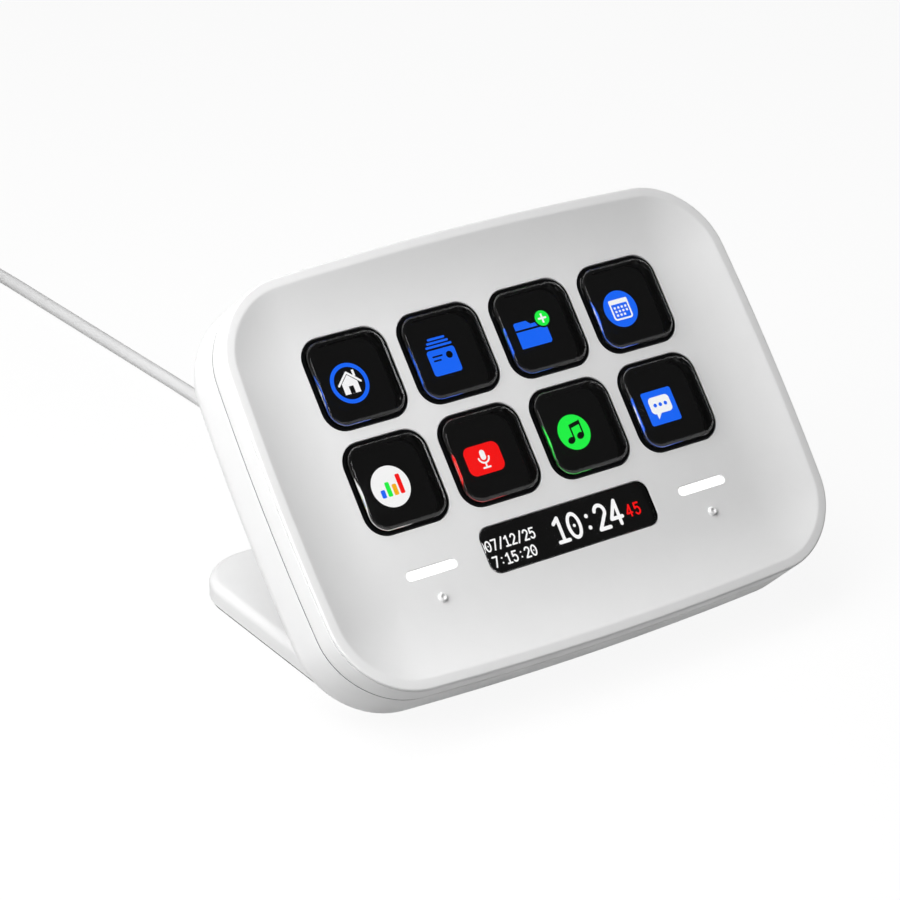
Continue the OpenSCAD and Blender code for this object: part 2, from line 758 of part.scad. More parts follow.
module board_parts() {
    // Memory, touch controller and regulator: [x, y, width, height] as shares of the board's
    // width, and the thickness as a share of the processor's
    chips = [
        [0.158, 0.066, 0.118, 0.092, 0.83],
        [0.184, -0.105, 0.079, 0.079, 0.75],
        [-0.316, -0.132, 0.066, 0.053, 1.33]
    ];
    // Row of small capacitors
    first = [-0.079, -0.21];
    step = 0.039;
    small = [0.021, 0.012, 0.5];
    // Sockets of the ribbon and of the cable
    ribbon_socket = 18*ribbon_t;
    lead_socket = [0.118, 0.079];
    color([0.2, 0.2, 0.21]) on_face() {
        for (c = chips) chip(c[0], c[1], c[2], c[3], c[4]*processor_t);
        for (k = [0:5]) chip(first[0] + step*k, first[1], small[0], small[1], small[2]*processor_t);
        chip(0, lead_y/board_w, lead_socket[0], lead_socket[1], lead_socket_h);
        translate([0, ribbon_up + ribbon_socket/2 + 2*ribbon_t, 0])
            block(1.2*ribbon_w, ribbon_socket, ribbon_t, board_top, board_top + socket_h);
    }
}

module status_leds() {
    color([0.95, 0.95, 0.85]) on_face() at_bars() for (s = [-1, 1])
        translate([s*bar_w/4, 0, 0]) block(1.6, 0.8, 0.1, board_top, board_top + led_h);
}

// Screws --------------------------------------------------------------------------------

// Screw with its head's seat at a level and its shank pointing up, or down
module screw_at(level, length, up = 1) {
    translate([0, 0, level]) mirror([0, 0, up < 0 ? 1 : 0]) {
        cylinder(h = length, d = shank_d, $fn = 32);
        difference() {
            translate([0, 0, -head_h]) cylinder(h = head_h, d = head_d, $fn = 32);
            translate([0, 0, -head_h - cut]) cylinder(h = cut + head_h/2, d = socket_w, $fn = 6);
        }
    }
}

module case_screws() {
    seat = floor_z + head_h;
    color(steel) on_face() at_bosses() screw_at(seat, pilot_top - tip_gap - seat);
}

module tray_screws() {
    color(steel) on_face() at_pairs(ear_x, ear_y)
        screw_at(tray_bottom, shelf_z - 2*tip_gap - tray_bottom);
}

module board_screws() {
    color(steel) on_face() at_pairs(board_x, board_y)
        screw_at(board_top, board_top - floor_z - tip_gap, -1);
}

module stand_screws() {
    color(steel) on_face() at_pairs(stand_x, stand_y)
        screw_at(floor_z, back_t + stand_bite - tip_gap, -1);
}

// Cable ---------------------------------------------------------------------------------

// Route of the cable from the gland to the coil, hand-set points [x, y, z] in the world
route = [
    [0, 4, 12.3], [0, 10, 12.2], [0, 18, 11.2], [0, 27, 9.6], [0, 36, 7.8], [0, 45, 5.8],
    [0, 54, 3.9], [0, 63, 2.4], [-0.1, 72, 1.6], [-0.2, 81, 1.4], [-0.4, 90, 1.4],
    [-0.6, 99, 1.4], [-0.8, 108, 1.4], [-1.1, 117, 1.4], [-1.5, 126, 1.4], [-1.9, 135, 1.4],
    [-2.3, 144, 1.4], [-2.7, 153, 1.4], [-3.1, 162, 1.4], [-3.5, 171, 1.4], [-3.9, 180, 1.4],
    [-4.3, 188, 1.4], [-4.9, 194, 1.4], [-6.6, 199.6, 1.5], [-9.6, 204, 1.6], [-14, 207.4, 1.7],
    [-19, 209, 1.8], [-25, 209.5, 1.9], [-32, 209.5, 1.9], [-40, 209.5, 1.9]
];
coil_low = 0.5;     // the coil lies on the tie's lower side
coil_out = coil_r + (coil_columns - 1)/2*turn;       // radius of the outer column
coil_top = coil_low + cable_d/2 + (coil_rows - 1)*turn;
route_end = route[len(route) - 1];
coil_at = [route_end[0], route_end[1] - coil_out];
// Route of the cable's end from the coil to the plug: how far it has run, and its height as
// a share of the way from the plug up to the coil's top turn
tail_fall = [
    [0, 1], [6, 0.962], [13, 0.797], [20, 0.57], [27, 0.329], [34, 0.127], [41, 0.025],
    [47, 0], [52, 0]
];
tail = [for (p = tail_fall)
    [coil_at[0] - coil_out, coil_at[1] - p[0], grip_t/2 + p[1]*(coil_top - grip_t/2)]];
coil_w = (coil_columns - 1)*turn + cable_d;
coil_h = (coil_rows - 1)*turn + cable_d;
exit_end = route[0][1];
plug_at = tail[len(tail) - 1];

function unit(v) = v/norm(v);
// Direction of a route at one of its points
function heading(points, i) =
    unit(points[min(i + 1, len(points) - 1)] - points[max(i - 1, 0)]);
// Round ring of a tube at one of its points, upright across the route
function tube_ring(points, i, r, sides) =
    let (t = heading(points, i), side = unit(cross(t, [0, 0, 1])), up = cross(side, t))
    [for (k = [0:sides - 1])
        let (a = 360*(k + 0.5)/sides)
        points[i] + r*(cos(a)*side + sin(a)*up)];

module tube(points, d, sides = 8) {
    loft([for (i = [0:len(points) - 1]) tube_ring(points, i, d/2, sides)]);
}

// Rubber sleeve round the cable: a barrel in the neck, a flange in its seat and a taper
module strain_relief() {
    taper_y = seat_y + gland_flange_t;
    sleeve = 1.1;
    color(white) difference() {
        translate([0, -shift_y, 0]) {
            along_exit(gland_d, exit_y - gland_d, seat_y);
            along_exit(flange_d, seat_y, taper_y);
            translate([0, taper_y, exit_height]) rotate([-90, 0, 0])
                cylinder(h = exit_end + shift_y - taper_y,
                         d1 = cable_d + 2*sleeve, d2 = cable_d + sleeve, $fn = 32);
        }
        on_face() translate([0, lead_y, 0]) bar(4*gland_d, -back_depth, 0);
    }
}

// The cable inside the case, from its gland to its socket
module inner_lead() {
    color(white) on_face() translate([0, lead_y, 0])
        bar(cable_d, -back_depth, board_bottom - lead_socket_h);
}

module cable() {
    color(white) {
        tube(route, cable_d);
        tube(tail, cable_d);
    }
}

module cable_coil() {
    color(white) translate([coil_at[0], coil_at[1], coil_low]) rotate_extrude($fn = 64)
        translate([coil_r - coil_w/2, 0]) square([coil_w, coil_h]);
}

// Strap round the coil on the side towards the object
module cable_tie() {
    room = coil_w + 0.8;   // the curved turns need a little more than their width
    color(black) translate([coil_at[0] - tie_w/2, coil_at[1] - coil_r, 0]) difference() {
        translate([0, -room/2 - tie_t, 0])
            cube([tie_w, room + 2*tie_t, coil_low + coil_h + tie_t]);
        translate([-cut, -room/2, coil_low]) cube([tie_w + 2*cut, room, coil_h]);
    }
}

// Puts a piece of the plug at a distance past the end of the cable
module on_plug(along) {
    translate([plug_at[0], plug_at[1] - along, grip_t/2]) rotate([90, 0, 0]) children();
}

module plug_grip() { color(white) on_plug(0) block(grip_w, grip_t, grip_t/2 - 0.3, 0, grip_len); }

module plug_shell() {
    color(steel) on_plug(grip_len) difference() {
        block(shell_w, shell_h, shell_h/2 - 0.1, 0, plug_len);
        block(shell_w - 2*shell_t, shell_h - 2*shell_t, shell_h/2 - shell_t - 0.1, 1, plug_len + cut);
    }
}

// Build ---------------------------------------------------------------------------------

face_plate();
mid_frame();
rear_cover();
stand();
base_pad();
stand_weight();
key_guide();
key_cap(0);  // key_cap_1
key_cap(1);  // key_cap_2
key_cap(2);  // key_cap_3
key_cap(3);  // key_cap_4
key_cap(4);  // key_cap_5
key_cap(5);  // key_cap_6
key_cap(6);  // key_cap_7
key_cap(7);  // key_cap_8
key_carrier(0);  // key_carrier_1
key_carrier(1);  // key_carrier_2
key_carrier(2);  // key_carrier_3
key_carrier(3);  // key_carrier_4
key_carrier(4);  // key_carrier_5
key_carrier(5);  // key_carrier_6
key_carrier(6);  // key_carrier_7
key_carrier(7);  // key_carrier_8
dome_sheet();
switch_sheet();
key_display();
display_tray();
display_ribbon();
info_window();
info_display();
light_pipe(-1);  // light_pipe_left
light_pipe(1);  // light_pipe_right
touch_pads();
touch_posts();
main_board();
processor();
board_parts();
status_leds();
case_screws();
tray_screws();
board_screws();
stand_screws();
strain_relief();
inner_lead();
cable();
cable_coil();
cable_tie();
plug_grip();
plug_shell();
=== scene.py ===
# %% [markdown]
# # A desk keypad with eight screen keys
# A white moulded case leans back on a fixed foot. Its dished face holds eight clear keys over
# one display, an info bar, two light bars and two touch points, and a thin cable leaves the
# back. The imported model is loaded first. It brings the solids and the joints, and every shape
# below is fitted to it, in the same frame, so nothing has to be lined up by eye.

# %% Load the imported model
import math
import bpy
import numpy as np
from mathutils import Matrix, Vector, geometry


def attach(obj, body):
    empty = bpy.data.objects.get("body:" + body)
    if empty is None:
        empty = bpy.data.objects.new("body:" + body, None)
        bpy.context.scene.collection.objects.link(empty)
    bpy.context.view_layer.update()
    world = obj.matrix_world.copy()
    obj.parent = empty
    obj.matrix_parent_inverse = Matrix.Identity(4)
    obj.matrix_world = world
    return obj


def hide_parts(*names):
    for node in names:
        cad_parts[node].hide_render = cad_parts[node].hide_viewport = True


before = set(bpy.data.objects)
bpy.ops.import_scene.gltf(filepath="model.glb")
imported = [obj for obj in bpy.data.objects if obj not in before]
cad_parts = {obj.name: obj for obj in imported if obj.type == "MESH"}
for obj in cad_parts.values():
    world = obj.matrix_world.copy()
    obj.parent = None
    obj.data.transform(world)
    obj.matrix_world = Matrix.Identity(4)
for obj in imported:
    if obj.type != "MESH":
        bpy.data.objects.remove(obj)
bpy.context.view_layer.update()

# %% [markdown]
# ## The camera
# The object is seen from its left front and from above, through a long lens, so that parallel
# edges stay nearly parallel. A camera is placed by where it stands and by two turns: how far
# it is tipped up from looking straight down, and how far it is swung to the right.

# %% Place the camera
FULL_FRAME = 36.0        # width of the picture behind the lens, mm
LENS = 128.09            # focal length, mm
CAMERA_AT = (-0.29796, -0.42571, 0.28072)
LOOK_DOWN, SWING = 25.60, 34.09

eye = bpy.data.cameras.new("view")
eye.sensor_width, eye.lens = FULL_FRAME, LENS
camera = bpy.data.objects.new("view", eye)
camera.location = CAMERA_AT
camera.rotation_euler = (math.radians(90 - LOOK_DOWN), 0, math.radians(-SWING))
bpy.context.scene.collection.objects.link(camera)
bpy.context.scene.camera = camera
print("Camera", round(Vector(CAMERA_AT).length, 3), "m from the middle of the desk")

# %% [markdown]
# ## Making a piece
# Every new piece is a surface worked out as arrays of points. Two helpers carry most of it.
# `bridge` joins a stack of rings with four-sided faces. `make_piece` puts points and faces
# into a mesh, gives it a material, hangs it on the empty of the body that carries it and hides
# the solids that it stands for. Points are in millimetres until then.

# %% Faces between rings
MM = 0.001


def bridge(rings, loop=False):
    """Faces between neighbouring rings of an array (rings, points, 3): face i, j joins points
    j and j + 1 of ring i to the same points of ring i + 1. With loop, the last ring joins the
    first. With rings that run counter-clockwise, faces look out where the rings rise."""
    count, around = rings.shape[:2]
    i, j = np.meshgrid(np.arange(count if loop else count - 1), np.arange(around), indexing="ij")
    after, up = (j + 1) % around, (i + 1) % count
    corners = [i * around + j, i * around + after, up * around + after, up * around + j]
    return np.stack(corners, -1).reshape(-1, 4)


def closed(rings):
    """A solid through a stack of rings: the bridged rings, and a flat face on each end."""
    count, around = rings.shape[:2]
    first = np.arange(around)[None, ::-1]
    last = (count - 1) * around + np.arange(around)[None]
    return rings.reshape(-1, 3), [bridge(rings), first, last]


def joined(parts):
    """Several (points, faces) as one: each part's faces count on from the points before it."""
    points, faces, start = [], [], 0
    for some_points, some_faces in parts:
        points.append(some_points)
        faces += [np.asarray(block) + start for block in some_faces]
        start += len(some_points)
    return np.concatenate(points), faces


def laid_out(stacks, caps):
    """Points and faces of several stacks of rings, each stack's point numbers (rings, points)
    and the next free number. A cap closes a stack's first or last ring, or none."""
    points, faces, numbers, start = [], [], [], 0
    for rings, cap in zip(stacks, caps):
        count, around = rings.shape[:2]
        numbers.append(start + np.arange(count * around).reshape(count, around))
        points.append(rings.reshape(-1, 3))
        faces.append(bridge(rings) + start)
        if cap == "first":
            faces.append(numbers[-1][:1, ::-1])
        if cap == "last":
            faces.append(numbers[-1][-1:])
        start += count * around
    return points, faces, numbers, start


# %% Outlines lifted to a level, and circles
def at_level(flat, z):
    """Points (n, 2) at one level."""
    return np.column_stack([flat, np.full(len(flat), z)])


def stacked(shapes, levels):
    """Outlines (n, 2), each lifted to its level, as an array of rings (levels, n, 3)."""
    return np.stack([at_level(*pair) for pair in zip(shapes, levels)])


def lofted(profile, shape):
    """Rings of a profile's (offset, level) pairs: the shape at each offset, at its level."""
    return stacked([shape(offset) for offset, _ in profile], [level for _, level in profile])


def unit(a):
    """Points (cos a, sin a) of a circle of radius one."""
    return np.stack([np.cos(a), np.sin(a)], -1)


def circle(n):
    """A circle of radius one in n points."""
    return unit(2 * np.pi * np.arange(n) / n)


# %% From points to a piece
def placed(name, data):
    """An object with its data, in the scene."""
    made = bpy.data.objects.new(name, data)
    bpy.context.scene.collection.objects.link(made)
    return made


def make_piece(name, points, faces, finish, body="case", slot="white_plastic",
               stands_for=(), crease=32, paint=None):
    """Writes points (n, 3) and blocks of faces into a mesh. Edges that turn by more than
    crease degrees stay sharp. finish is a material, or a list with paint as each face's own."""
    blocks = [np.asarray(block, np.int32) for block in faces if len(block)]
    corners = np.concatenate([block.ravel() for block in blocks])
    sizes = np.concatenate([np.full(len(block), block.shape[1]) for block in blocks])
    starts = np.concatenate([[0], np.cumsum(sizes)[:-1]]).astype(np.int32)
    mesh = bpy.data.meshes.new(name)
    mesh.vertices.add(len(points))
    mesh.vertices.foreach_set("co", np.asarray(points * MM, np.float32).ravel())
    mesh.loops.add(len(corners))
    mesh.loops.foreach_set("vertex_index", corners)
    mesh.polygons.add(len(sizes))
    mesh.polygons.foreach_set("loop_start", starts)
    for material in finish if isinstance(finish, list) else [finish]:
        mesh.materials.append(material)
    if paint is not None:
        mesh.polygons.foreach_set("material_index", np.asarray(paint, np.int32))
    mesh.update(calc_edges=True)
    mesh.shade_smooth()
    mesh.set_sharp_from_angle(angle=math.radians(crease))
    piece = placed(name, mesh)
    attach(piece, body)
    if stands_for:
        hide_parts(*stands_for)
    print(f"{name}: {len(points)} points, {len(sizes)} faces")
    return piece


# %% [markdown]
# ## Finishes
# A finish is a small node network. All of them start from the Principled shader, whose own
# sockets hold whatever is the same all over the surface. Grain, wear and mottling come from
# noise that reads Object coordinates, so it stays on the piece when the piece moves. One
# helper builds that network: noise of a size in millimetres drives bump and a little spread
# in the roughness.

# %% A helper for finishes
def srgb(r, g, b):
    """A colour as it looks on a screen, 0 to 255, turned into light: below 0.04045 a twelfth,
    above it the power 2.4 of (c + 0.055) / 1.055."""
    c = np.array([r, g, b]) / 255
    return (*np.where(c <= 0.04045, c / 12.92, ((c + 0.055) / 1.055) ** 2.4), 1.0)


def with_sockets(node, **values):
    """Sets a node's sockets by their names, with _ for a space, and hands the node back."""
    for socket, value in values.items():
        node.inputs[socket.replace("_", " ")].default_value = value
    return node


def add(tree, kind, **values):
    """A new shader node of a kind, with its sockets set."""
    return with_sockets(tree.nodes.new("ShaderNode" + kind), **values)


def finish(name, colour, rough, grain=0.0, grain_mm=0.3, spread=0.05, patch_mm=4.0, shade=0.0,
           **sockets):
    """Principled shader with its sockets set directly. grain is the height of the bump in
    millimetres at a size of grain_mm, spread widens the roughness and shade darkens the colour
    in patches of patch_mm."""
    material = bpy.data.materials.new(name)
    material.use_nodes = True
    tree = material.node_tree
    shader = with_sockets(tree.nodes["Principled BSDF"], Base_Color=colour, Roughness=rough,
                          **sockets)
    where = add(tree, "TexCoord").outputs["Object"]

    def noise(size, detail):
        made = add(tree, "TexNoise", Scale=1 / (size * MM), Detail=detail)
        tree.links.new(where, made.inputs["Vector"])
        return made.outputs["Fac"]

    def ranged(source, low, high):
        made = add(tree, "MapRange", From_Min=0.3, From_Max=0.7, To_Min=low, To_Max=high)
        tree.links.new(source, made.inputs["Value"])
        return made.outputs["Result"]

    patches = noise(patch_mm, 3.0)
    if spread:
        tree.links.new(ranged(patches, rough - spread, rough + spread), shader.inputs["Roughness"])
    if shade:
        mix = add(tree, "Mix")
        mix.data_type = "RGBA"
        mix.inputs[6].default_value = colour
        mix.inputs[7].default_value = (*(c * (1 - shade) for c in colour[:3]), 1)
        tree.links.new(ranged(patches, 0, 1), mix.inputs[0])
        tree.links.new(mix.outputs[2], shader.inputs["Base Color"])
    if grain:
        bump = add(tree, "Bump", Distance=grain * MM, Strength=1.0)
        tree.links.new(noise(grain_mm, 2.0), bump.inputs["Height"])
        tree.links.new(bump.outputs["Normal"], shader.inputs["Normal"])
    return material


# %% [markdown]
# ## The finishes of the outside
# The case is bright white plastic with the fine, dull grain of an etched mould. The keys are
# clear and polished, with a slight ripple in their rounded edges. The rings round them are
# gloss black, and the foot's pad, the cable and its sleeve are soft and dull. The inside of the
# rear seam carries painted shade, a mid grey that darkens it into a line, and what the displays
# show gives its own light.

# %% Outside finishes
GLASS = dict(spread=0.0, Transmission_Weight=1.0, IOR=1.49)
white_case = finish("white_case", srgb(233, 233, 233), 0.42, 0.004, 0.22, patch_mm=6.0,
                    shade=0.015)
# Painted shade: a mid grey for the inside of the rear seam, standing in for the shadow in the gap.
painted_seam_shade = finish("painted_seam_shade", srgb(128, 128, 130), 0.8, 0.004, 0.22)
milky_bar = finish("milky_bar", srgb(250, 250, 250), 0.35, 0.002, 0.4, 0.04,
                   Emission_Color=(1, 1, 1, 1), Emission_Strength=0.75)
black_gloss = finish("black_gloss", srgb(6, 6, 7), 0.38, 0.0006, spread=0.03,
                     Specular_IOR_Level=0.25)
clear_lens = finish("clear_lens", (1, 1, 1, 1), 0.0, **GLASS)
lens_edge = finish("lens_edge", (1, 1, 1, 1), 0.0, 0.03, 0.9, **GLASS)
window_clear = finish("window_clear", (1, 1, 1, 1), 0.0, **GLASS)
bond_black = finish("bond_black", srgb(5, 5, 6), 0.6, 0.0003, Specular_IOR_Level=0.0)
screen_glass = finish("screen_glass", srgb(4, 4, 5), 0.4, 0.0003, Specular_IOR_Level=0.05,
                      Emission_Color=srgb(10, 10, 10), Emission_Strength=1.0)
cable_skin = finish("cable_skin", srgb(229, 229, 229), 0.55, 0.006, 0.35, 0.06, 9.0, 0.03)
sleeve_skin = finish("sleeve_skin", srgb(227, 227, 227), 0.6, 0.005, 0.25, shade=0.02)
pad_rubber = finish("pad_rubber", srgb(38, 38, 40), 0.85, 0.02, 0.5, 0.08, shade=0.2)
strap_cloth = finish("strap_cloth", srgb(30, 30, 32), 0.9, 0.05, 0.25, 0.0, 0.8, 0.35,
                     Sheen_Weight=0.4)
plug_steel = finish("plug_steel", srgb(196, 197, 200), 0.24, 0.001, 0.5, 0.06, Metallic=1.0)
screw_steel = finish("screw_steel", srgb(120, 121, 124), 0.34, 0.003, 0.3, 0.08, 1.5, 0.2,
                     Metallic=1.0)
gold_flash = finish("gold_flash", srgb(214, 172, 92), 0.28, Metallic=1.0)
tongue_black = finish("tongue_black", srgb(22, 22, 23), 0.5, 0.002)
print("Outside finishes:", len(bpy.data.materials))


def glow(name, colour):
    """A lit patch of a display: black to the touch of light, with its own light at full
    strength, so that its colour is the colour written."""
    return finish(name, (0.0, 0.0, 0.0, 1), 0.5, Emission_Color=colour, Emission_Strength=1.0)


# %% [markdown]
# ## The cable
# The cable is a thin soft lead, 1.5 m long and 2.8 mm thick, moulded to a small plug. It
# leaves the neck, droops to the desk and runs back. The length that is left over is wound
# into a neat coil of twelve turns, in four layers of three, behind the object. A free cord
# is a tube along one line, so the line comes first: listed points are smoothed, and the
# coil is a circle whose radius and height step from slot to slot.

# %% The cable's sizes and its route
CABLE_D = 2.8
ROUTE = np.array([
    [0, 4, 12.3], [0, 10, 12.2], [0, 18, 11.2], [0, 27, 9.6], [0, 36, 7.8], [0, 45, 5.8],
    [0, 54, 3.9], [0, 63, 2.4], [-0.1, 72, 1.6], [-0.2, 81, 1.4], [-0.4, 90, 1.4],
    [-0.6, 99, 1.4], [-0.8, 108, 1.4], [-1.1, 117, 1.4], [-1.5, 126, 1.4], [-1.9, 135, 1.4],
    [-2.3, 144, 1.4], [-2.7, 153, 1.4], [-3.1, 162, 1.4], [-3.5, 171, 1.4], [-3.9, 180, 1.4],
    [-4.3, 188, 1.4], [-4.9, 194, 1.4], [-6.6, 199.6, 1.5], [-9.6, 204, 1.6], [-14, 207.4, 1.7],
    [-19, 209, 1.8], [-25, 209.5, 1.9], [-32, 209.5, 1.9], [-40, 209.5, 1.9]])
TAIL = np.array([
    [-62.5, 190, 10.9], [-62.4, 184, 10.6], [-62, 177, 9.3], [-61.3, 170, 7.5],
    [-60.6, 163, 5.6], [-60, 156, 4], [-59.6, 149, 3.2], [-59.5, 143, 3], [-59.5, 138, 3]])
COIL_AT, COIL_LOW, TURN = np.array([-40.0, 190.0]), 1.9, 3.0
COLUMNS = [19.5, 16.5, 13.5]            # radii of the coil's columns
LAYERS, TURNS = 4, 12.25
LINE_STEP = 1.5                         # mm between the points of a smoothed line
print("Route:", len(ROUTE), "points; tail:", len(TAIL), "points")


# %% The cable's line
def smoothed(points, step):
    """A line through the points: between neighbours b and c, with a before and d after, the
    cubic b + u/2·(c − a) + u²/2·(2a − 5b + 4c − d) + u³/2·(3b − a − 3c + d), u from 0 to 1."""
    ends = np.vstack([2 * points[0] - points[1], points, 2 * points[-1] - points[-2]])
    a, b, c, d = ends[:-3], ends[1:-2], ends[2:-1], ends[3:]
    pieces = max(2, round(float(np.linalg.norm(c - b, axis=1).mean()) / step))
    u = (np.arange(pieces) / pieces)[None, :, None]
    a, b, c, d = (p[:, None] for p in (a, b, c, d))
    line = b + u / 2 * (c - a) + u**2 / 2 * (2*a - 5*b + 4*c - d) + u**3 / 2 * (3*b - a - 3*c + d)
    return np.vstack([line.reshape(-1, 3), points[-1:]])


def coil_line(steps_per_turn=96, change=0.3):
    """The coil: at turn t the angle is a quarter turn plus t turns. Each whole turn has a slot,
    a radius and a layer, and over the last `change` of a turn the line eases to the next. The
    last quarter turn lies outside the top layer."""
    slots = [(column if layer % 2 == 0 else len(COLUMNS) - 1 - column, layer)
             for layer in range(LAYERS) for column in range(len(COLUMNS))]
    radius = np.array([COLUMNS[column] for column, _ in slots] + [COLUMNS[0] + TURN])
    height = COIL_LOW + TURN * np.array([layer for _, layer in slots] + [LAYERS - 1])
    t = np.linspace(0, TURNS, round(TURNS * steps_per_turn) + 1)
    here = np.minimum(t.astype(int), len(slots))
    after = np.minimum(here + 1, len(slots))
    ease = np.clip((t - here - 1 + change) / change, 0, 1)
    ease = ease * ease * (3 - 2 * ease)
    r = radius[here] * (1 - ease) + radius[after] * ease
    z = height[here] * (1 - ease) + height[after] * ease
    flat = COIL_AT + r[:, None] * unit(np.pi / 2 + 2 * np.pi * t)
    return np.column_stack([flat, z])


cable_line = np.vstack([smoothed(ROUTE, LINE_STEP), coil_line()[1:-1],
                        smoothed(TAIL, LINE_STEP)])
run = np.linalg.norm(np.diff(cable_line, axis=0), axis=1).sum()
print("Cable line:", round(run), "mm in", len(cable_line), "points")


# %% The cable's tube
def tube(line, radius, sides=14):
    """A tube: at each point of the line, a ring r·(cos a·side + sin a·up), where side is level
    and square to the line's heading and up is square to both."""
    heading = np.gradient(line, axis=0)
    heading /= np.linalg.norm(heading, axis=1, keepdims=True)
    side = np.cross(heading, [0, 0, 1.0])
    side /= np.linalg.norm(side, axis=1, keepdims=True)
    up = np.cross(side, heading)
    a = (2 * np.pi * np.arange(sides) / sides)[None, :, None]
    return line[:, None] + radius * (np.cos(a) * side[:, None] + np.sin(a) * up[:, None])


cable = make_piece("cable_lead", *closed(tube(cable_line, CABLE_D / 2)), cable_skin,
                   stands_for=["cable", "cable_coil"], crease=60)

# %% [markdown]
# ## The plug, the tie and the sleeve
# The plug's grip is a flat rounded bar, its metal shell a small oval tube with a tongue of
# contacts inside. Both are outlines carried along one line. The tie is a strap that goes round
# the coil's section once and laps over itself. The sleeve in the neck is turned, as on a
# lathe, with the shallow grooves that let such a sleeve bend, though here it stays straight.

# %% Outlines and profiles
def outline(w, h, r, bow_x=0.0, bow_y=0.0, steps=10, spans=2):
    """Rounded rectangle, counter-clockwise: four arcs of radius r, joined by straight sides in
    spans pieces. Each point then moves out, x by the factor 1 + bow_x/half width·(1 − (y/half
    height)²), and y likewise, so that the sides bow but the corners stay."""
    half = np.array([w / 2 - bow_x, h / 2 - bow_y])
    centre = np.array([[1, 1], [-1, 1], [-1, -1], [1, -1]]) * (half - r)
    a = np.radians(np.arange(4)[:, None] * 90 + np.linspace(0, 90, steps + 1))
    arcs = centre[:, None] + r * unit(a)
    share = (np.arange(1, spans) / spans)[None, :, None]
    following = np.roll(arcs, -1, axis=0)[:, :1]
    sides = arcs[:, -1:] * (1 - share) + following * share
    p = np.concatenate([arcs, sides], 1).reshape(-1, 2)
    q = (p / half) ** 2
    return p * (1 + np.array([bow_x, bow_y]) / half * (1 - q[:, ::-1]))


def rounded_bar(w, h, r, low, high, edge, steps=5):
    """A bar between two levels whose outline draws in by edge·(1 − sin a) over the last edge
    of its length at both ends, a quarter circle."""
    a = np.linspace(0, np.pi / 2, steps + 1)
    inset = edge * (1 - np.sin(a))
    rise = edge * (1 - np.cos(a))
    insets = np.concatenate([[inset[0] + edge * 0.2], inset, inset[::-1], [inset[0] + edge * 0.2]])
    levels = np.concatenate([[low], low + rise, high - rise[::-1], [high]])
    shapes = [outline(w - 2 * i, h - 2 * i, max(r - i, 0.05)) for i in insets]
    return closed(stacked(shapes, levels))


PLUG_X, PLUG_Y, PLUG_Z = -59.5, 138.0, 3.0


def along_plug(points, faces):
    """Plug frame to desk: x stays across, z runs towards the object and y becomes height. That
    mirrors a solid, so its faces are turned round."""
    x, y, z = points.T
    return np.column_stack([PLUG_X + x, PLUG_Y - z, PLUG_Z + y]), [f[:, ::-1] for f in faces]


# %% The plug
GRIP_LEN, GRIP_W, GRIP_T = 22.0, 11.0, 6.0
SHELL_LEN, SHELL_W, SHELL_H, SHELL_T = 6.6, 8.3, 2.5, 0.35
grip = rounded_bar(GRIP_W, GRIP_T, GRIP_T / 2 - 0.3, 0, GRIP_LEN, 0.8)
ribs = np.arange(0, 6.01, 0.25)
rib_radius = 2.3 - 0.12 * ribs + 0.16 * np.cos(2 * np.pi * ribs / 1.5)
rib_ring = outline(2, 2, 0.999)
neck = closed(stacked([rib_ring * r for r in rib_radius[::-1]], -ribs[::-1] + 0.4))
plug_grip = make_piece("plug_body", *along_plug(*joined([grip, neck])), cable_skin,
                       stands_for=["plug_grip"])

shell_r = SHELL_H / 2 - 0.01
SHELL_TIP = GRIP_LEN + SHELL_LEN
profile = [(0, GRIP_LEN), (0, SHELL_TIP - 0.2), (0.06, SHELL_TIP - 0.06), (0.2, SHELL_TIP),
           (SHELL_T, SHELL_TIP - 0.1), (SHELL_T, GRIP_LEN + 1.0)]
shell = closed(lofted(profile, lambda i: outline(SHELL_W - 2 * i, SHELL_H - 2 * i, shell_r - i)))
plug_shell = make_piece("plug_metal", *along_plug(*shell), plug_steel, slot="bright_steel",
                        stands_for=["plug_shell"])

CONTACTS, CONTACT_STEP = 12, 0.5
tongue = rounded_bar(6.4, 0.7, 0.1, GRIP_LEN + 0.9, GRIP_LEN + 5.4, 0.1)
points, faces = rounded_bar(0.25, 0.8, 0.05, GRIP_LEN + 2.4, GRIP_LEN + 5.0, 0.03)
contacts = [(points + [CONTACT_STEP * (k - (CONTACTS - 1) / 2), 0, 0], faces)
            for k in range(CONTACTS)]
paint = np.repeat([0, 1], [sum(map(len, tongue[1])), CONTACTS * sum(map(len, faces))])
plug_tongue = make_piece("plug_contacts", *along_plug(*joined([tongue, *contacts])),
                         [tongue_black, gold_flash], slot="black_plastic", paint=paint)

# %% The tie
TIE_W, TIE_T, TIE_ACROSS, TIE_R = 5.0, 0.5, 9.6, 1.6
LAP_FROM, LAP_TIP, LAP_END = 1.0, 1.06, 1.12     # shares of the way round the coil's section
COIL_HIGH = COIL_LOW + CABLE_D / 2 + (LAYERS - 1) * TURN
lap = np.linspace(0, LAP_END, 150)


def strap_line(share, lift):
    """The strap's way round the coil's section, a rounded rectangle, by share of its length."""
    ring = outline(TIE_ACROSS + 2 * lift, COIL_HIGH + 2 * lift, TIE_R + lift, steps=8, spans=8)
    ring = np.vstack([ring, ring[:1]])
    gone = np.concatenate([[0], np.cumsum(np.linalg.norm(np.diff(ring, axis=0), axis=1))])
    at = (share % 1.0) * gone[-1]
    return np.column_stack([np.interp(at, gone, ring[:, 0]), np.interp(at, gone, ring[:, 1])])


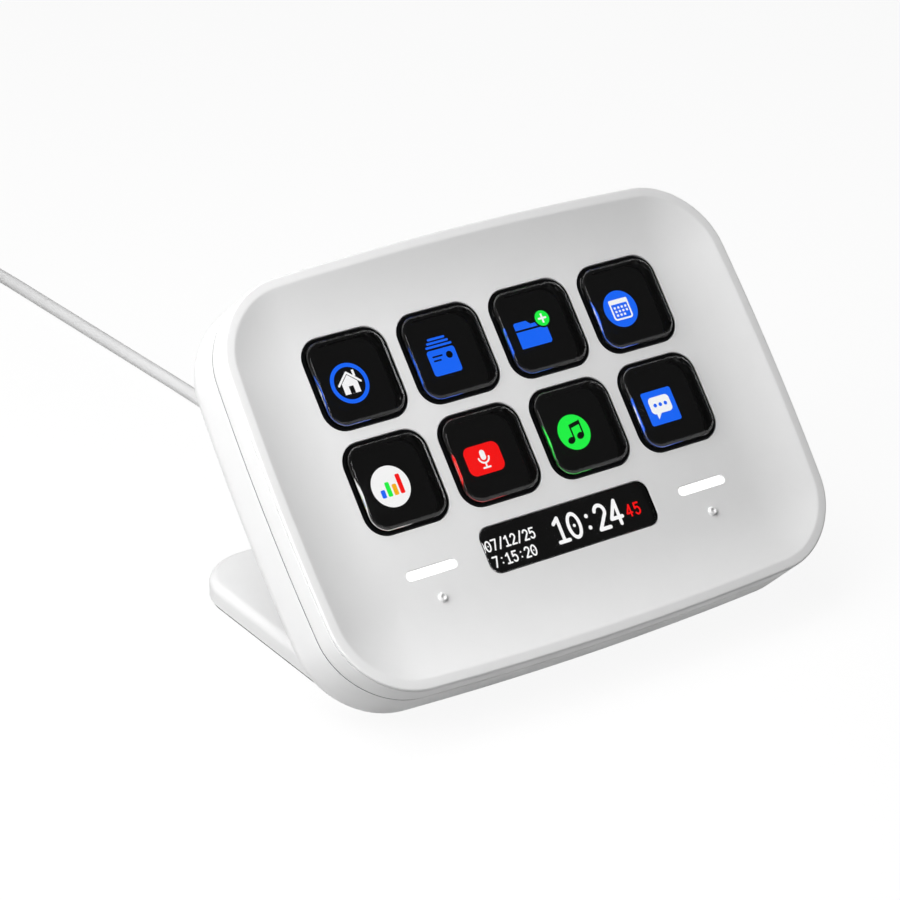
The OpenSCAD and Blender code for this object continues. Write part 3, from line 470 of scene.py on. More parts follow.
mix = np.clip((lap - LAP_FROM) / 0.03, 0, 1)[:, None]
low_side, high_side = (strap_line(lap, under) * (1 - mix) + strap_line(lap, over) * mix
                       for under, over in ((0.02, 0.02 + TIE_T * 0.8), (TIE_T * 0.8, TIE_T * 1.5)))
half_w = TIE_W / 2 * np.sqrt(np.clip(1 - ((lap - LAP_TIP) / 0.0601) ** 2, 0.02, 1))
half_w = np.where(lap > LAP_TIP, half_w, TIE_W / 2)
middle = np.array([COIL_AT[1] - COLUMNS[1], COIL_HIGH / 2 + 0.3])
sections = np.stack([
    np.column_stack([COIL_AT[0] + s * half_w, middle + side])
    for s, side in ((-1, low_side), (1, low_side), (1, high_side), (-1, high_side))], 1)
sections[..., 2] = np.maximum(sections[..., 2], 0.02)
tie = make_piece("cable_strap", *closed(sections), strap_cloth, slot="black_plastic",
                 stands_for=["cable_tie"])

# %% The sleeve where the cable leaves the neck
EXIT_HEIGHT, FLANGE_R, BARREL_R = 12.3, 3.8, 2.5
FLANGE_FROM, TAPER_FROM, SLEEVE_END, TIP_R = -8.609, -7.408, 4.0, 1.95
CUT, CUT_STEP = 0.22, 1.9


def turned(profile, sides=48):
    """A turned solid along +Y: each (distance, radius) of the profile is a circle."""
    y, r = (np.array(profile, float).T)[:, :, None]
    x, z = circle(sides).T
    return closed(np.stack([r * x, np.broadcast_to(y, (len(y), sides)), EXIT_HEIGHT - r * z], -1))


along = np.linspace(TAPER_FROM, SLEEVE_END, 90)
share = (along - TAPER_FROM) / (SLEEVE_END - TAPER_FROM)
wave = np.clip(np.sin(2 * np.pi * (along - TAPER_FROM) / CUT_STEP) * 3, 0, 1)
radius = BARREL_R + (TIP_R - BARREL_R) * share - CUT * wave * (share > 0.12) * (share < 0.92)
barrel = [(-13.5, BARREL_R), (FLANGE_FROM, BARREL_R), (FLANGE_FROM, FLANGE_R),
          (TAPER_FROM - 0.2, FLANGE_R), (TAPER_FROM - 0.06, FLANGE_R - 0.06),
          (TAPER_FROM, FLANGE_R - 0.2), (TAPER_FROM, BARREL_R + 0.3)]
tip = [(SLEEVE_END + 0.2, TIP_R - 0.08), (SLEEVE_END + 0.3, TIP_R - 0.3),
       (SLEEVE_END + 0.3, CABLE_D / 2 - 0.1)]
make_piece("cable_sleeve", *turned(barrel + list(zip(along, radius)) + tip), sleeve_skin,
           slot="white_rubber", stands_for=["strain_relief"])

# %% [markdown]
# ## The face frame
# The case is drawn flat, in its own frame: x to the right, y up the face and z out of it,
# with zero on the floor of the dish, midway between the keys. One function tilts it into
# place. The face's outline is a rounded rectangle with bowed sides, and it shrinks by an
# inset, so that a profile of (inset, level) pairs makes a whole shell.

# %% Sizes of the case, and its place on the desk
TILT, GRID_HEIGHT, SHIFT = math.radians(49), 45.8, 5.9115
FACE_W, FACE_H, CORNER_R = 107.0, 77.8, 13.5
SIDE_BOW, END_BOW, FACE_DROP = 1.4, 1.8, 7.85
RIM_RISE, RIM_W, DISH_FALL, EDGE = 2.3, 1.4, 13.0, 0.35
LIP_Z, SHELF_Z, FRAME_LOW, BACK_Z = 1.7, -1.2, -3.0, -16.0
SEAM, WALL, FLARE, BACK_ROUND = 0.15, 1.7, 0.5, 6.0
GROOVE, GROOVE_IN, SOFT = 0.09, 0.8, 0.06    # each edge steps back from its seam


def on_face(points):
    """Face frame to desk: y and z turn by the tilt about the x axis, then everything moves
    up by the height of the keys and towards the front by SHIFT."""
    x, y, z = np.moveaxis(np.asarray(points, float), -1, 0)
    return np.stack([x, y * math.cos(TILT) - z * math.sin(TILT) - SHIFT,
                     GRID_HEIGHT + y * math.sin(TILT) + z * math.cos(TILT)], -1)


def face_ring(inset, z, steps=20, spans=24):
    """The face's outline, moved in by an inset, at a level."""
    flat = outline(FACE_W - 2 * inset, FACE_H - 2 * inset, max(CORNER_R - inset, 0.6),
                   SIDE_BOW, END_BOW, steps, spans)
    return at_level(flat - [0, FACE_DROP], z)


def side_inset(z):
    """The side flares: the outline grows in proportion to the depth below the lip."""
    return -FLARE * (LIP_Z - z) / (LIP_Z - BACK_Z - BACK_ROUND)


def quarter(radius, steps=6):
    """A quarter round as (in, along) pairs, from (0, 0) to (radius, radius)."""
    a = np.linspace(0, np.pi / 2, steps + 1)
    return radius * (1 - np.cos(a)), radius * np.sin(a)


# %% [markdown]
# ## The dish
# The face plate is one moulding: a thin lip, a flat rim and a shallow dish with a parabolic
# fall. It could be a subdivided cage, but the openings would then pull at the curve. Instead
# each point knows its inset from the outline, and the height follows from that, so the rims
# of the openings lie exactly in the dished surface. The floor between them is filled with
# triangles. That does no harm where it is flat, and where it still curves a little, rows of
# loose points carry the curve.

# %% The dish's height
INNER = RIM_W + EDGE                    # inset of the rim's inner edge


def dish_height(inset):
    """Height of the dish: rim height · t², with t the share of the way from the floor to the
    rim. Within 0.3 of the rim's inner edge a parabola rounds the crease."""
    t = np.clip(1 - (inset - INNER) / DISH_FALL, 0, 1)
    slope, half = 2 * RIM_RISE / DISH_FALL, 0.3
    near = np.clip(inset - INNER + half, 0, 2 * half)
    rounded = RIM_RISE - slope * near**2 / (4 * half)
    return np.where(inset < INNER + half, rounded, RIM_RISE * t**2)


def inset_at(points):
    """Inset of points (n, 2): the bow is taken off in five rounds, and what is left is a
    rounded rectangle. Its distance is negative inside, and the inset is minus that."""
    p = points + [0, FACE_DROP]
    half = np.array([FACE_W / 2 - SIDE_BOW, FACE_H / 2 - END_BOW])
    bow = np.array([SIDE_BOW, END_BOW])
    inset = np.full(len(p), 8.0)            # a first guess, anywhere between edge and middle
    for _ in range(5):
        now = half - inset[:, None]
        flat = p.copy()
        for _ in range(3):
            flat = p / (1 + bow / now * (1 - (flat[:, ::-1] / now[:, ::-1]) ** 2))
        q = np.abs(flat) - (half - CORNER_R)
        distance = (np.linalg.norm(np.maximum(q, 0), axis=1)
                    + np.minimum(q.max(axis=1), 0) - CORNER_R)
        inset = -distance
    return inset


print("Dish falls from", RIM_RISE, "to", float(dish_height(np.array([20.0]))[0]), "mm")

# %% Openings in the dish
PITCH, OPENING_W, OPENING_R = 19.5, 17.3, 4.1
INFO_DROP, INFO_W, INFO_H, INFO_R = 26.1, 36.2, 8.5, 2.1
BAR_X, BAR_W, BAR_H, BAR_SINK, DOT_DROP, DOT_R = 29.2, 10.2, 1.6, 0.3, 5.1, 0.75
KEYS = np.array([[(k % 4 - 1.5) * PITCH, (0.5 - k // 4) * PITCH] for k in range(8)])
SIDES = (-1, 1)
FILLET = 0.12

openings = [(key, OPENING_W, OPENING_W, OPENING_R) for key in KEYS]
openings += [(np.array([0, -INFO_DROP]), INFO_W + 0.1, INFO_H + 0.1, INFO_R + 0.05)]
openings += [(np.array([s * BAR_X, -INFO_DROP]), BAR_W + 0.1, BAR_H + 0.1, BAR_H / 2 + 0.049)
             for s in SIDES]
dots = [np.array([s * BAR_X, -INFO_DROP - DOT_DROP]) for s in SIDES]


def on_dish(flat, drop=0.0):
    """Points (n, 2) lifted onto the dish, or a drop below it."""
    return np.column_stack([flat, dish_height(inset_at(flat)) - drop])


def opening_rings(centre, w, h, r):
    """The wall of an opening, from a flat margin over a small round down to the underside."""
    back, down = quarter(FILLET, 4)
    offsets = np.concatenate([[FILLET + 0.12], FILLET - back])
    shapes = [outline(w + 2 * o, h + 2 * o, r + o, steps=8) + centre for o in offsets]
    drops = np.concatenate([[0.0], FILLET - down[::-1]])
    rings = [on_dish(s, d) for s, d in zip(shapes, drops)]
    return np.stack([*rings, at_level(shapes[-1], SHELF_Z)])


def dot_rings(centre, steps=9):
    """A touch dot: a small fillet up to a round rim with a shallow cup inside it, and its last
    ring nearly closed."""
    a = np.linspace(0, np.pi, steps)
    rim = DOT_R * 0.3
    radius = np.concatenate([[DOT_R + 0.35, DOT_R + 0.12, DOT_R + 0.02],
                             DOT_R - rim + rim * np.cos(a), [DOT_R * 0.25, DOT_R * 0.03]])
    height = np.concatenate([[0, 0.0, 0.06], 0.34 + rim * np.sin(a), [0.28, 0.27]])
    return np.stack([on_dish(centre + r * circle(32), -z) for r, z in zip(radius, height)])


# %% Filling the floor between the openings
def filled(outer, holes, extra=None):
    """Triangles of the area inside the outer loop and outside the holes, each (n, 2), with
    extra points inside it. A constrained triangulation fills everything, and a triangle whose
    three corners are on one hole lies in that hole, because the holes are convex."""
    loops = [outer, *holes]
    owner = np.concatenate([np.full(len(loop), k) for k, loop in enumerate(loops)]
                           + ([np.full(len(extra), -1)] if extra is not None else []))
    flat = np.concatenate(loops + ([extra] if extra is not None else []))
    edges, start = [], 0
    for loop in loops:
        n = len(loop)
        edges += [(start + k, start + (k + 1) % n) for k in range(n)]
        start += n
    made = geometry.delaunay_2d_cdt([Vector(p) for p in flat], edges, [], 0, 1e-7)
    source = np.array([o[0] if o else -1 for o in made[3]])
    triangles = source[np.array(made[2])]
    whose = owner[triangles]
    keep = ~((whose[:, 0] > 0) & (whose[:, 0] == whose[:, 1]) & (whose[:, 1] == whose[:, 2]))
    triangles = triangles[keep]
    a, b, c = (flat[triangles[:, k]] for k in range(3))
    area = np.cross(b - a, c - a)
    triangles[area < 0] = triangles[area < 0][:, ::-1]
    return triangles[np.abs(area) > 1e-9]


def clear_of_openings(flat, margin=0.75):
    """True for the points (n, 2) that are not in or near an opening or a dot."""
    free = np.ones(len(flat), bool)
    for centre, w, h, _ in openings + [(d, 1.5, 1.5, 0) for d in dots]:
        near = np.abs(flat - centre) < np.array([w, h]) / 2 + margin
        free &= ~near.all(axis=1)
    return free


# %% The face plate
SKIRT = WALL + SEAM / 2
FLOOR_FROM = 9.8                        # inset at which the triangles take over
soft_in, soft_up = quarter(SOFT, 3)
rim_in, rim_up = quarter(EDGE, 6)
walls = [(SKIRT, SHELF_Z), (SKIRT, LIP_Z), (GROOVE_IN, LIP_Z), (GROOVE_IN, LIP_Z + GROOVE)]
walls += [(i, LIP_Z + GROOVE + SOFT - u) for i, u in zip(soft_in[::-1], soft_up[::-1])]
walls += [(i, RIM_RISE - EDGE + u) for i, u in zip(rim_in, rim_up)]
walls += [(EDGE + 0.25, RIM_RISE)]
insets = np.concatenate([np.linspace(INNER - 0.3, INNER + 0.3, 9),
                         np.linspace(INNER + 0.3, FLOOR_FROM, 30)[1:]])
walls += list(zip(insets, dish_height(insets)))
shell_rings = np.stack([face_ring(i, z) for i, z in walls])
around = shell_rings.shape[1]

holes = [opening_rings(*o) for o in openings] + [dot_rings(d) for d in dots]
inner_points = np.concatenate([face_ring(i, 0)[::2, :2]
                               for i in (10.3, 10.8, 11.4, 12.0, 12.7, 13.5, 14.3)])
inner_points = inner_points[clear_of_openings(inner_points)]
floor_xy = filled(shell_rings[-1][:, :2], [h[0][:, :2] for h in holes], inner_points)
under_xy = filled(shell_rings[0][:, :2], [h[-1][:, :2] for h in holes[:len(openings)]])
print("Floor:", len(floor_xy), "triangles; underside:", len(under_xy))

# %% Putting the face plate together
# The points are the shell's rings, then each hole's rings, then the loose floor points. The
# triangles count outlines only, so they are mapped onto the rings that they belong to.
points, faces, numbers, start = laid_out(
    [shell_rings, *holes], [None] * (1 + len(openings)) + ["last"] * len(dots))
top_index = np.concatenate([numbers[0][-1], *(n[0] for n in numbers[1:]),
                            start + np.arange(len(inner_points))])
low_index = np.concatenate([numbers[0][0], *(n[-1] for n in numbers[1:1 + len(openings)])])
faces += [top_index[floor_xy], low_index[under_xy][:, ::-1]]
make_piece("face_dish", on_face(np.concatenate([*points, on_dish(inner_points)])), faces,
           white_case, stands_for=["face_plate"], crease=30)

# %% [markdown]
# ## The side band and the back
# Below the lip a band goes round the case, and below that the rear shell, each a hair's
# breadth from its neighbour, so that two fine seams run round. Both are closed shells made
# from one profile: up the outside, over the edge and down the inside. The rear shell turns in
# with a generous round and has four wells for its screws. Their mouths lie partly on the
# round, so here too the level of a point follows from its inset.

# %% The side band
band_top, band_low = LIP_Z - SEAM, FRAME_LOW
top_in, low_in = side_inset(band_top), side_inset(band_low)
step = GROOVE + SOFT
band = [(low_in + GROOVE_IN, band_low), (low_in + GROOVE_IN, band_low + GROOVE)]
band += [(low_in + i, band_low + step - u) for i, u in zip(soft_in[::-1], soft_up[::-1])]
band += [(side_inset(z), z) for z in np.linspace(band_low + step, band_top - step, 6)[1:-1]]
band += [(top_in + i, band_top - step + u) for i, u in zip(soft_in, soft_up)]
band += [(top_in + GROOVE_IN, band_top - GROOVE), (top_in + GROOVE_IN, band_top)]
band += [(WALL - 0.05, band_top), (WALL - 0.05, band_low)]
band_rings = np.stack([face_ring(i, z) for i, z in band])
# Painted shade: the first two rows of faces lie in the rear seam and take the grey seam finish.
painted_shade_faces = np.zeros(len(band) * around, int)
painted_shade_faces[:2 * around] = 1                # the first two rows of faces lie in the rear seam
make_piece("side_band", on_face(band_rings.reshape(-1, 3)), [bridge(band_rings, loop=True)],
           [white_case, painted_seam_shade], stands_for=["mid_frame"], paint=painted_shade_faces)

# %% The rear shell's sides
COVER_TOP = FRAME_LOW - SEAM
WELL_R, WELL_TOP, INNER_FLOOR = 2.4, -12.72, -12.2
FILL_FROM = 3.1                         # inset at which the rings stop and triangles take over


def back_height(inset):
    """Level of the back. With s the share of the round's width that lies outside an inset, it
    stands off the flat by the round's radius · (1 - √(1 - s²))."""
    s = np.clip((BACK_ROUND - FLARE - inset) / BACK_ROUND, 0, 1)
    return BACK_Z + BACK_ROUND * (1 - np.sqrt(1 - s**2))


turn_in = np.linspace(math.asin((BACK_ROUND - FLARE - FILL_FROM) / BACK_ROUND), np.pi / 2, 13)
cover = [(BACK_ROUND * (1 - math.sin(a)) - FLARE, BACK_Z + BACK_ROUND * (1 - math.cos(a)))
         for a in turn_in]
cover += [(side_inset(z), z)
          for z in np.linspace(BACK_Z + BACK_ROUND, COVER_TOP - step, 8)[1:-1]]
cover_in = side_inset(COVER_TOP)
cover += [(cover_in + i, COVER_TOP - step + u) for i, u in zip(soft_in, soft_up)]
seam_row = len(cover) - 1
cover += [(cover_in + GROOVE_IN, COVER_TOP - GROOVE), (cover_in + GROOVE_IN, COVER_TOP)]
cover += [(WALL + 0.3, COVER_TOP), (WALL + 0.3, INNER_FLOOR + 3), (WALL + 3.3, INNER_FLOOR)]
cover_rings = np.stack([face_ring(i, z) for i, z in cover])
print("Rear shell:", len(cover), "rings of", around, "points")

# %% The wells and the flat of the back
BOSSES = [np.array([sx * (FACE_W / 2 - 10), sy * (FACE_H / 2 - 10) - FACE_DROP])
          for sx in SIDES for sy in SIDES]
WELL_EDGE = 0.3
well_in, well_up = quarter(WELL_EDGE, 4)
mouth = [(WELL_R + i, WELL_EDGE - u) for i, u in zip(well_in, well_up)]
mouth += [(WELL_R + WELL_EDGE + 0.15, 0.0)]


def on_back(flat, up=0.0):
    """Points (n, 2) laid on the back, or as far inside it as up says."""
    return np.column_stack([flat, back_height(inset_at(flat)) + up])


wells = [np.stack([at_level(c + WELL_R * circle(48), WELL_TOP)]
                  + [on_back(c + r * circle(48), up) for r, up in mouth]) for c in BOSSES]
back_points = np.concatenate([face_ring(i, 0)[:, :2]
                              for i in (3.5, 3.9, 4.3, 4.7, 5.1, 5.4, 5.6, 5.9, 6.4)])
apart = np.linalg.norm(back_points[:, None] - np.array(BOSSES), axis=2).min(axis=1)
back_points = back_points[apart > WELL_R + 0.8]
back_xy = filled(cover_rings[0][:, :2], [w[-1][:, :2] for w in wells], back_points)
print("Back:", len(back_xy), "triangles round", len(wells), "wells")

# %% The rear shell put together
points, faces, numbers, start = laid_out([cover_rings, *wells],
                                         ["last"] + ["first"] * len(wells))
back_index = np.concatenate([numbers[0][0], *(n[-1] for n in numbers[1:]),
                             start + np.arange(len(back_points))])
faces.append(back_index[back_xy][:, ::-1])
# Painted shade: the two rows of faces at the shell's step in the rear seam take the grey seam
# finish.
painted_shade_faces = np.zeros(sum(len(block) for block in faces), int)
painted_shade_faces[seam_row * around:(seam_row + 2) * around] = 1
make_piece("back_shell", on_face(np.concatenate([*points, on_back(back_points)])), faces,
           [white_case, painted_seam_shade], stands_for=["rear_cover"], paint=painted_shade_faces)

# %% [markdown]
# ## The foot
# The foot is a flat plate with round corners and a soft top edge, and a neck that leans back
# with the case and meets the plate in a hollow round. The plate is a stack of outlines that
# draws in towards its middle, with its height cut down along the sloping front edge. The neck
# is its side view carried across, and a bevel softens its edges.

# %% The foot's plate
FOOT_W, FOOT_BACK, FOOT_FRONT, FOOT_TOP = 86.0, 44.0, 16.0, 4.6
REAR_R, FRONT_R, NOSE_TOP, NOSE_LEN = 11.0, 16.0, 1.9, 3.0
FOOT_ROUND, FOOT_LOW = 1.6, 0.5


def foot_outline(inset, steps=16, spans=10):
    """A rectangle with rear corners of one radius and front corners of another, moved in."""
    hw, y0, y1 = FOOT_W / 2 - inset, -FOOT_FRONT + inset, FOOT_BACK - inset
    r0, r1 = max(FRONT_R - inset, 0.3), max(REAR_R - inset, 0.3)
    corners = [(hw - r1, y1 - r1, r1), (r1 - hw, y1 - r1, r1),
               (r0 - hw, y0 + r0, r0), (hw - r0, y0 + r0, r0)]
    arcs = []
    for k, (x, y, r) in enumerate(corners):
        a = np.radians(90 * k + np.linspace(0, 90, steps + 1))
        arcs.append([x, y] + r * unit(a))
    share = np.arange(1, spans)[:, None] / spans
    return np.concatenate([p for k in range(4) for p in (
        arcs[k], arcs[k][-1] * (1 - share) + arcs[(k + 1) % 4][0] * share)])


a = np.linspace(0, np.pi / 2, 10)
foot = [(0.15, FOOT_LOW), (0, FOOT_LOW + 0.15), (0, FOOT_TOP - FOOT_ROUND - 0.2)]
foot += [(FOOT_ROUND * (1 - math.cos(b)), FOOT_TOP - FOOT_ROUND * (1 - math.sin(b))) for b in a]
foot += [(FOOT_ROUND + i, FOOT_TOP) for i in (0.3, 1, 2, 4, 6, 9, 12, 16, 20, 24)]
foot_rings = lofted(foot, foot_outline)
slope = NOSE_TOP + (foot_rings[..., 1] + FOOT_FRONT) * (FOOT_TOP - NOSE_TOP) / NOSE_LEN
foot_rings[..., 2] = np.minimum(foot_rings[..., 2], np.maximum(slope, FOOT_LOW))
foot_rings[..., 1] -= SHIFT
make_piece("foot_plate", *closed(foot_rings), white_case, stands_for=["stand"])

# %% The rubber pad
PAD_IN, PAD_LIP_IN, PAD_TOP = 2.0, 0.32, 1.0
pad = [(PAD_LIP_IN + 0.15, 0), (PAD_LIP_IN, 0.12), (PAD_LIP_IN, FOOT_LOW - 0.05),
       (PAD_LIP_IN + 0.05, FOOT_LOW - 0.01), (PAD_IN + 0.05, FOOT_LOW - 0.01),
       (PAD_IN + 0.05, PAD_TOP)]
pad_rings = lofted(pad, lambda i: foot_outline(i) - [0, SHIFT])
make_piece("foot_pad", *closed(pad_rings), pad_rubber, slot="black_rubber",
           stands_for=["base_pad"])

# %% The foot's neck
NECK_W, NECK_T, NECK_LEN, NECK_FILLET = 56.0, 5.0, 28.0, 5.0


def side_point(y, z):
    """A point of the face frame seen from the side, before the shift."""
    return np.array([y * math.cos(TILT) - z * math.sin(TILT),
                     GRID_HEIGHT + y * math.sin(TILT) + z * math.cos(TILT)])


neck_low = (FOOT_TOP - GRID_HEIGHT - BACK_Z * math.cos(TILT)) / math.sin(TILT)
low = side_point(neck_low, BACK_Z)
root = low + [NECK_T / math.sin(TILT), 0]
reach = NECK_FILLET / math.tan(TILT / 2)
a = np.radians(90) + TILT + (math.pi - TILT) * np.linspace(0, 1, 17)
hollow = root + [reach, NECK_FILLET] + NECK_FILLET * unit(a)
high_in, high_out = (side_point(neck_low + NECK_LEN, BACK_Z - t) for t in (0, NECK_T))
side_view = np.vstack([[root + [reach, -1.0]], [low + [1.0, -1.0]], [low], [high_in],
                       [high_out], hollow])
ends = np.array([-1, 1]) * NECK_W / 2
neck_rings = np.stack([np.column_stack([np.full(len(side_view), x), side_view]) for x in ends])
neck_rings[..., 1] -= SHIFT
points, faces = closed(neck_rings)
foot_neck = make_piece("foot_neck", points, [f[:, ::-1] for f in faces], white_case, crease=30)
soft = foot_neck.modifiers.new("soft edges", "BEVEL")
soft.width, soft.segments, soft.limit_method, soft.angle_limit = 0.0009, 4, "ANGLE", 0.7

# %% [markdown]
# The sleeve's flange sits in a round pocket in the neck. The pocket is cut with a Boolean,
# and the result is kept as the neck's mesh, so that no cutter is left in the scene.

# %% The pocket for the sleeve
POCKET_R = 4.0
pocket, pocket_faces = turned([(FLANGE_FROM, POCKET_R), (12.0, POCKET_R)])
cutter_mesh = bpy.data.meshes.new("pocket")
cutter_mesh.from_pydata((pocket * MM).tolist(), [],
                        [tuple(f) for block in pocket_faces for f in block.tolist()])
cutter = placed("pocket", cutter_mesh)
cut = foot_neck.modifiers.new("pocket", "BOOLEAN")
cut.object, cut.operation, cut.solver = cutter, "DIFFERENCE", "EXACT"
bpy.context.view_layer.update()
finished = bpy.data.meshes.new_from_object(
    foot_neck.evaluated_get(bpy.context.evaluated_depsgraph_get()))
foot_neck.modifiers.clear()
foot_neck.data = finished
bpy.data.objects.remove(cutter)
finished.set_sharp_from_angle(angle=math.radians(25))
print("Neck:", len(finished.polygons), "faces after the pocket")

# %% [markdown]
# ## The keys
# A key is a clear block in a black ring. The block has a soft edge that catches a thin line
# of light, and it bends what is seen through it, so the picture on the display seems to float
# higher than it is. Both are real solids here: light is bent by the block's own faces, which
# needs no trick in the material. A block is a stack of rounded squares.

# %% A key's lens and its ring
CAP_W, CAP_R, RING_WALL, LEDGE, FLANGE = 16.9, 3.9, 0.5, 0.3, 0.65
CAP_TOP, CAP_ROUND, RING_TOP, SEAT_Z, FLANGE_Z = 1.0, 1.1, 0.0, -0.9, -1.8
GLUE = 0.05                             # gap between lens and ring


def square(offset):
    """A key's outline moved out by an offset, or in by a negative one."""
    width = CAP_W + 2 * offset
    return outline(width, width, max(CAP_R + offset, 0.3), steps=12)


def key_lens(centre):
    """Clear block: a plug on the ring's ledge, a straight wall inside the ring, a round of
    CAP_ROUND and a top that is a hair higher in the middle."""
    edge = RING_WALL + GLUE
    inset, up = quarter(CAP_ROUND, 14)
    profile = [(edge + LEDGE + 0.15, FLANGE_Z), (edge + LEDGE, FLANGE_Z + 0.15),
               (edge + LEDGE, SEAT_Z), (edge, SEAT_Z)]
    profile += [(edge + i, CAP_TOP - CAP_ROUND + u) for i, u in zip(inset, up)]
    profile += [(edge + CAP_ROUND + i, CAP_TOP + 0.004 * i) for i in (0.1, 1.0, 3.0, 5.0)]
    rings = lofted(profile, lambda o: square(-o) + centre)
    points, faces = closed(rings)
    band = np.arange(len(faces[0])) // rings.shape[1]
    paint = np.concatenate([(band > 3) & (band < 4 + len(inset)), [False, False]])
    return points, faces, paint


def key_ring(centre):
    """Black ring: flange, outside wall, rounded rim, inside wall and the lens's ledge, as one
    closed profile."""
    ledge = RING_WALL + LEDGE
    profile = [(-ledge, FLANGE_Z), (FLANGE, FLANGE_Z), (FLANGE, SHELF_Z), (0, SHELF_Z),
               (0, RING_TOP - 0.12), (-0.035, RING_TOP - 0.035), (-0.12, RING_TOP),
               (0.04 - RING_WALL, RING_TOP), (-RING_WALL, RING_TOP - 0.04),
               (-RING_WALL, SEAT_Z), (-ledge, SEAT_Z)]
    rings = lofted(profile, lambda o: square(o) + centre)
    return rings.reshape(-1, 3), [bridge(rings, loop=True)]


# %% The eight keys
for number, key in enumerate(KEYS, 1):
    points, faces, paint = key_lens(key)
    make_piece(f"key_lens_{number}", on_face(points), faces, [clear_lens, lens_edge],
               f"key_{number}", "clear_plastic", [f"key_cap_{number}"], crease=40, paint=paint)
    points, faces = key_ring(key)
    make_piece(f"key_ring_{number}", on_face(points), faces, black_gloss, f"key_{number}",
               "black_plastic", [f"key_carrier_{number}"])

# %% [markdown]
# ## What the displays show
# One display lies under all eight keys and a small one under the info bar. Each key shows a
# plain pictogram, and the info bar shows a clock. They are thin lit shapes on the display, not
# a picture: discs, bands, rounded plates and strokes, each a loop of points raised by a few
# hundredths of a millimetre. A stroke is a line given width, with round ends.

# %% Flat shapes
def disc(x, y, r, ry=None, turn=0.0, n=48):
    """Ellipse: (x + r·cos a, y + ry·sin a), turned by turn degrees."""
    p = circle(n) * [r, ry or r]
    c, s = math.cos(math.radians(turn)), math.sin(math.radians(turn))
    return p @ np.array([[c, s], [-s, c]]) + [x, y]


def plate(x, y, w, h, r):
    return outline(w, h, r, steps=8) + [x, y]


def bow(x, y, rx, ry, start, end, n=20):
    """Points along an elliptic arc between two angles in degrees."""
    return [x, y] + [rx, ry] * unit(np.radians(np.linspace(start, end, n)))


def stroke(line, width):
    """A line's outline: the points moved half a width to either side, square to the line's
    heading, with a half circle round each end."""
    line = np.asarray(line, float)
    heading = np.gradient(line, axis=0)
    heading /= np.linalg.norm(heading, axis=1, keepdims=True)
    across = np.stack([-heading[:, 1], heading[:, 0]], 1) * width / 2

    def cap(at, to_left):
        a = np.radians(np.linspace(0, 180, 9)[1:-1])[:, None]
        ahead = np.array([to_left[1], -to_left[0]])
        return at - to_left * np.cos(a) + ahead * np.sin(a)
    return np.concatenate([line - across, cap(line[-1], across[-1]), (line + across)[::-1],
                           cap(line[0], -across[0])])


def thin(shape, level, thickness=0.02):
    """A loop, or a pair of outer and inner loops, as a solid a few hundredths thick."""
    if isinstance(shape, tuple):
        outer, inner = shape
        high = level + thickness
        rings = stacked([outer, outer, inner, inner], [level, high, high, level])
        return rings.reshape(-1, 3), [bridge(rings, loop=True)]
    return closed(stacked([shape, shape], [level, level + thickness]))


def lit_picture(name, shapes, centre, level):
    """Draws (shape, glow) pairs one above another round a centre on the face."""
    finishes = list(dict.fromkeys(paint for _, paint in shapes))
    parts, paint = [], []
    for height, (shape, glowing) in enumerate(shapes):
        made = thin(shape, level + 0.012 * height)
        parts.append((made[0] + [*centre, 0], made[1]))
        paint += [finishes.index(glowing)] * sum(len(block) for block in made[1])
    points, faces = joined(parts)
    make_piece(name, on_face(points), faces, finishes, slot="display_glass", paint=paint)


# %% The light of the displays
LIGHTS = dict(white=(250, 250, 250), blue=(20, 104, 252), green=(30, 246, 70),
              red=(250, 14, 14), amber=(250, 178, 12))
W, B, G, R, A = (glow(name + "_light", srgb(*colour)) for name, colour in LIGHTS.items())
D = finish("dark_spot", (0.002, 0.002, 0.002, 1), 0.5)
print("Lights of the displays:", len(LIGHTS), "and one dark")

# %% The pictograms
home = [
    ((disc(0, 0, 4.05), disc(0, 0, 3.25)), B),
    (np.array([[-1.7, -2.1], [1.7, -2.1], [1.7, 0.1], [0, 1.7], [-1.7, 0.1]]), W),
    (stroke([[-2.4, -0.1], [-1.2, 1.05], [0, 2.15]], 0.42), W),
    (stroke([[0, 2.15], [1.2, 1.05], [2.4, -0.1]], 0.42), W),
    (plate(1.45, 1.75, 0.5, 1.3, 0.05), W), (plate(0, -1.35, 1.0, 1.5, 0.05), D)]
cards = [(plate(0, -0.75, 6.3, 5.2, 0.6), B)]
cards += [(stroke([[-w, y], [0, y], [w, y]], 0.46), B)
          for w, y in ((2.75, 2.5), (2.25, 3.25), (1.75, 4.0))]
cards += [(stroke([[-2.1, 0.5], [-1, 0.5], [-0.1, 0.5]], 0.34), D),
          (stroke([[-2.1, -0.35], [-1.5, -0.35], [-0.7, -0.35]], 0.34), D),
          (disc(1.5, 0.25, 0.72), D)]
folder = [
    (np.array([[-3.7, -2.7], [3.1, -2.7], [3.5, -2.3], [3.5, 1.9], [0.1, 1.9], [-0.7, 2.7],
               [-3.4, 2.7], [-3.7, 2.4]]), B),
    (stroke([[-3.8, 0.95], [0, 0.95], [3.8, 0.95]], 0.4), D),
    (disc(3.1, 2.35, 1.95), D), (disc(3.1, 2.35, 1.6), G),
    (stroke([[2.3, 2.35], [3.1, 2.35], [3.9, 2.35]], 0.4), W),
    (stroke([[3.1, 1.55], [3.1, 2.35], [3.1, 3.15]], 0.4), W)]
calendar = [(disc(0, 0, 3.85), B),
            ((plate(0, -0.1, 4.5, 4.3, 0.7), plate(0, -0.1, 3.8, 3.6, 0.4)), W),
            (plate(0, 1.6, 4.5, 0.95, 0.3), W)]
calendar += [(plate(0.85 * i - 1.275, 0.35 - 0.8 * j, 0.46, 0.46, 0.12), W)
             for j in range(3) for i in range(4) if (i, j) != (3, 2)]
chart = [(disc(0, 0, 4.1), W)]
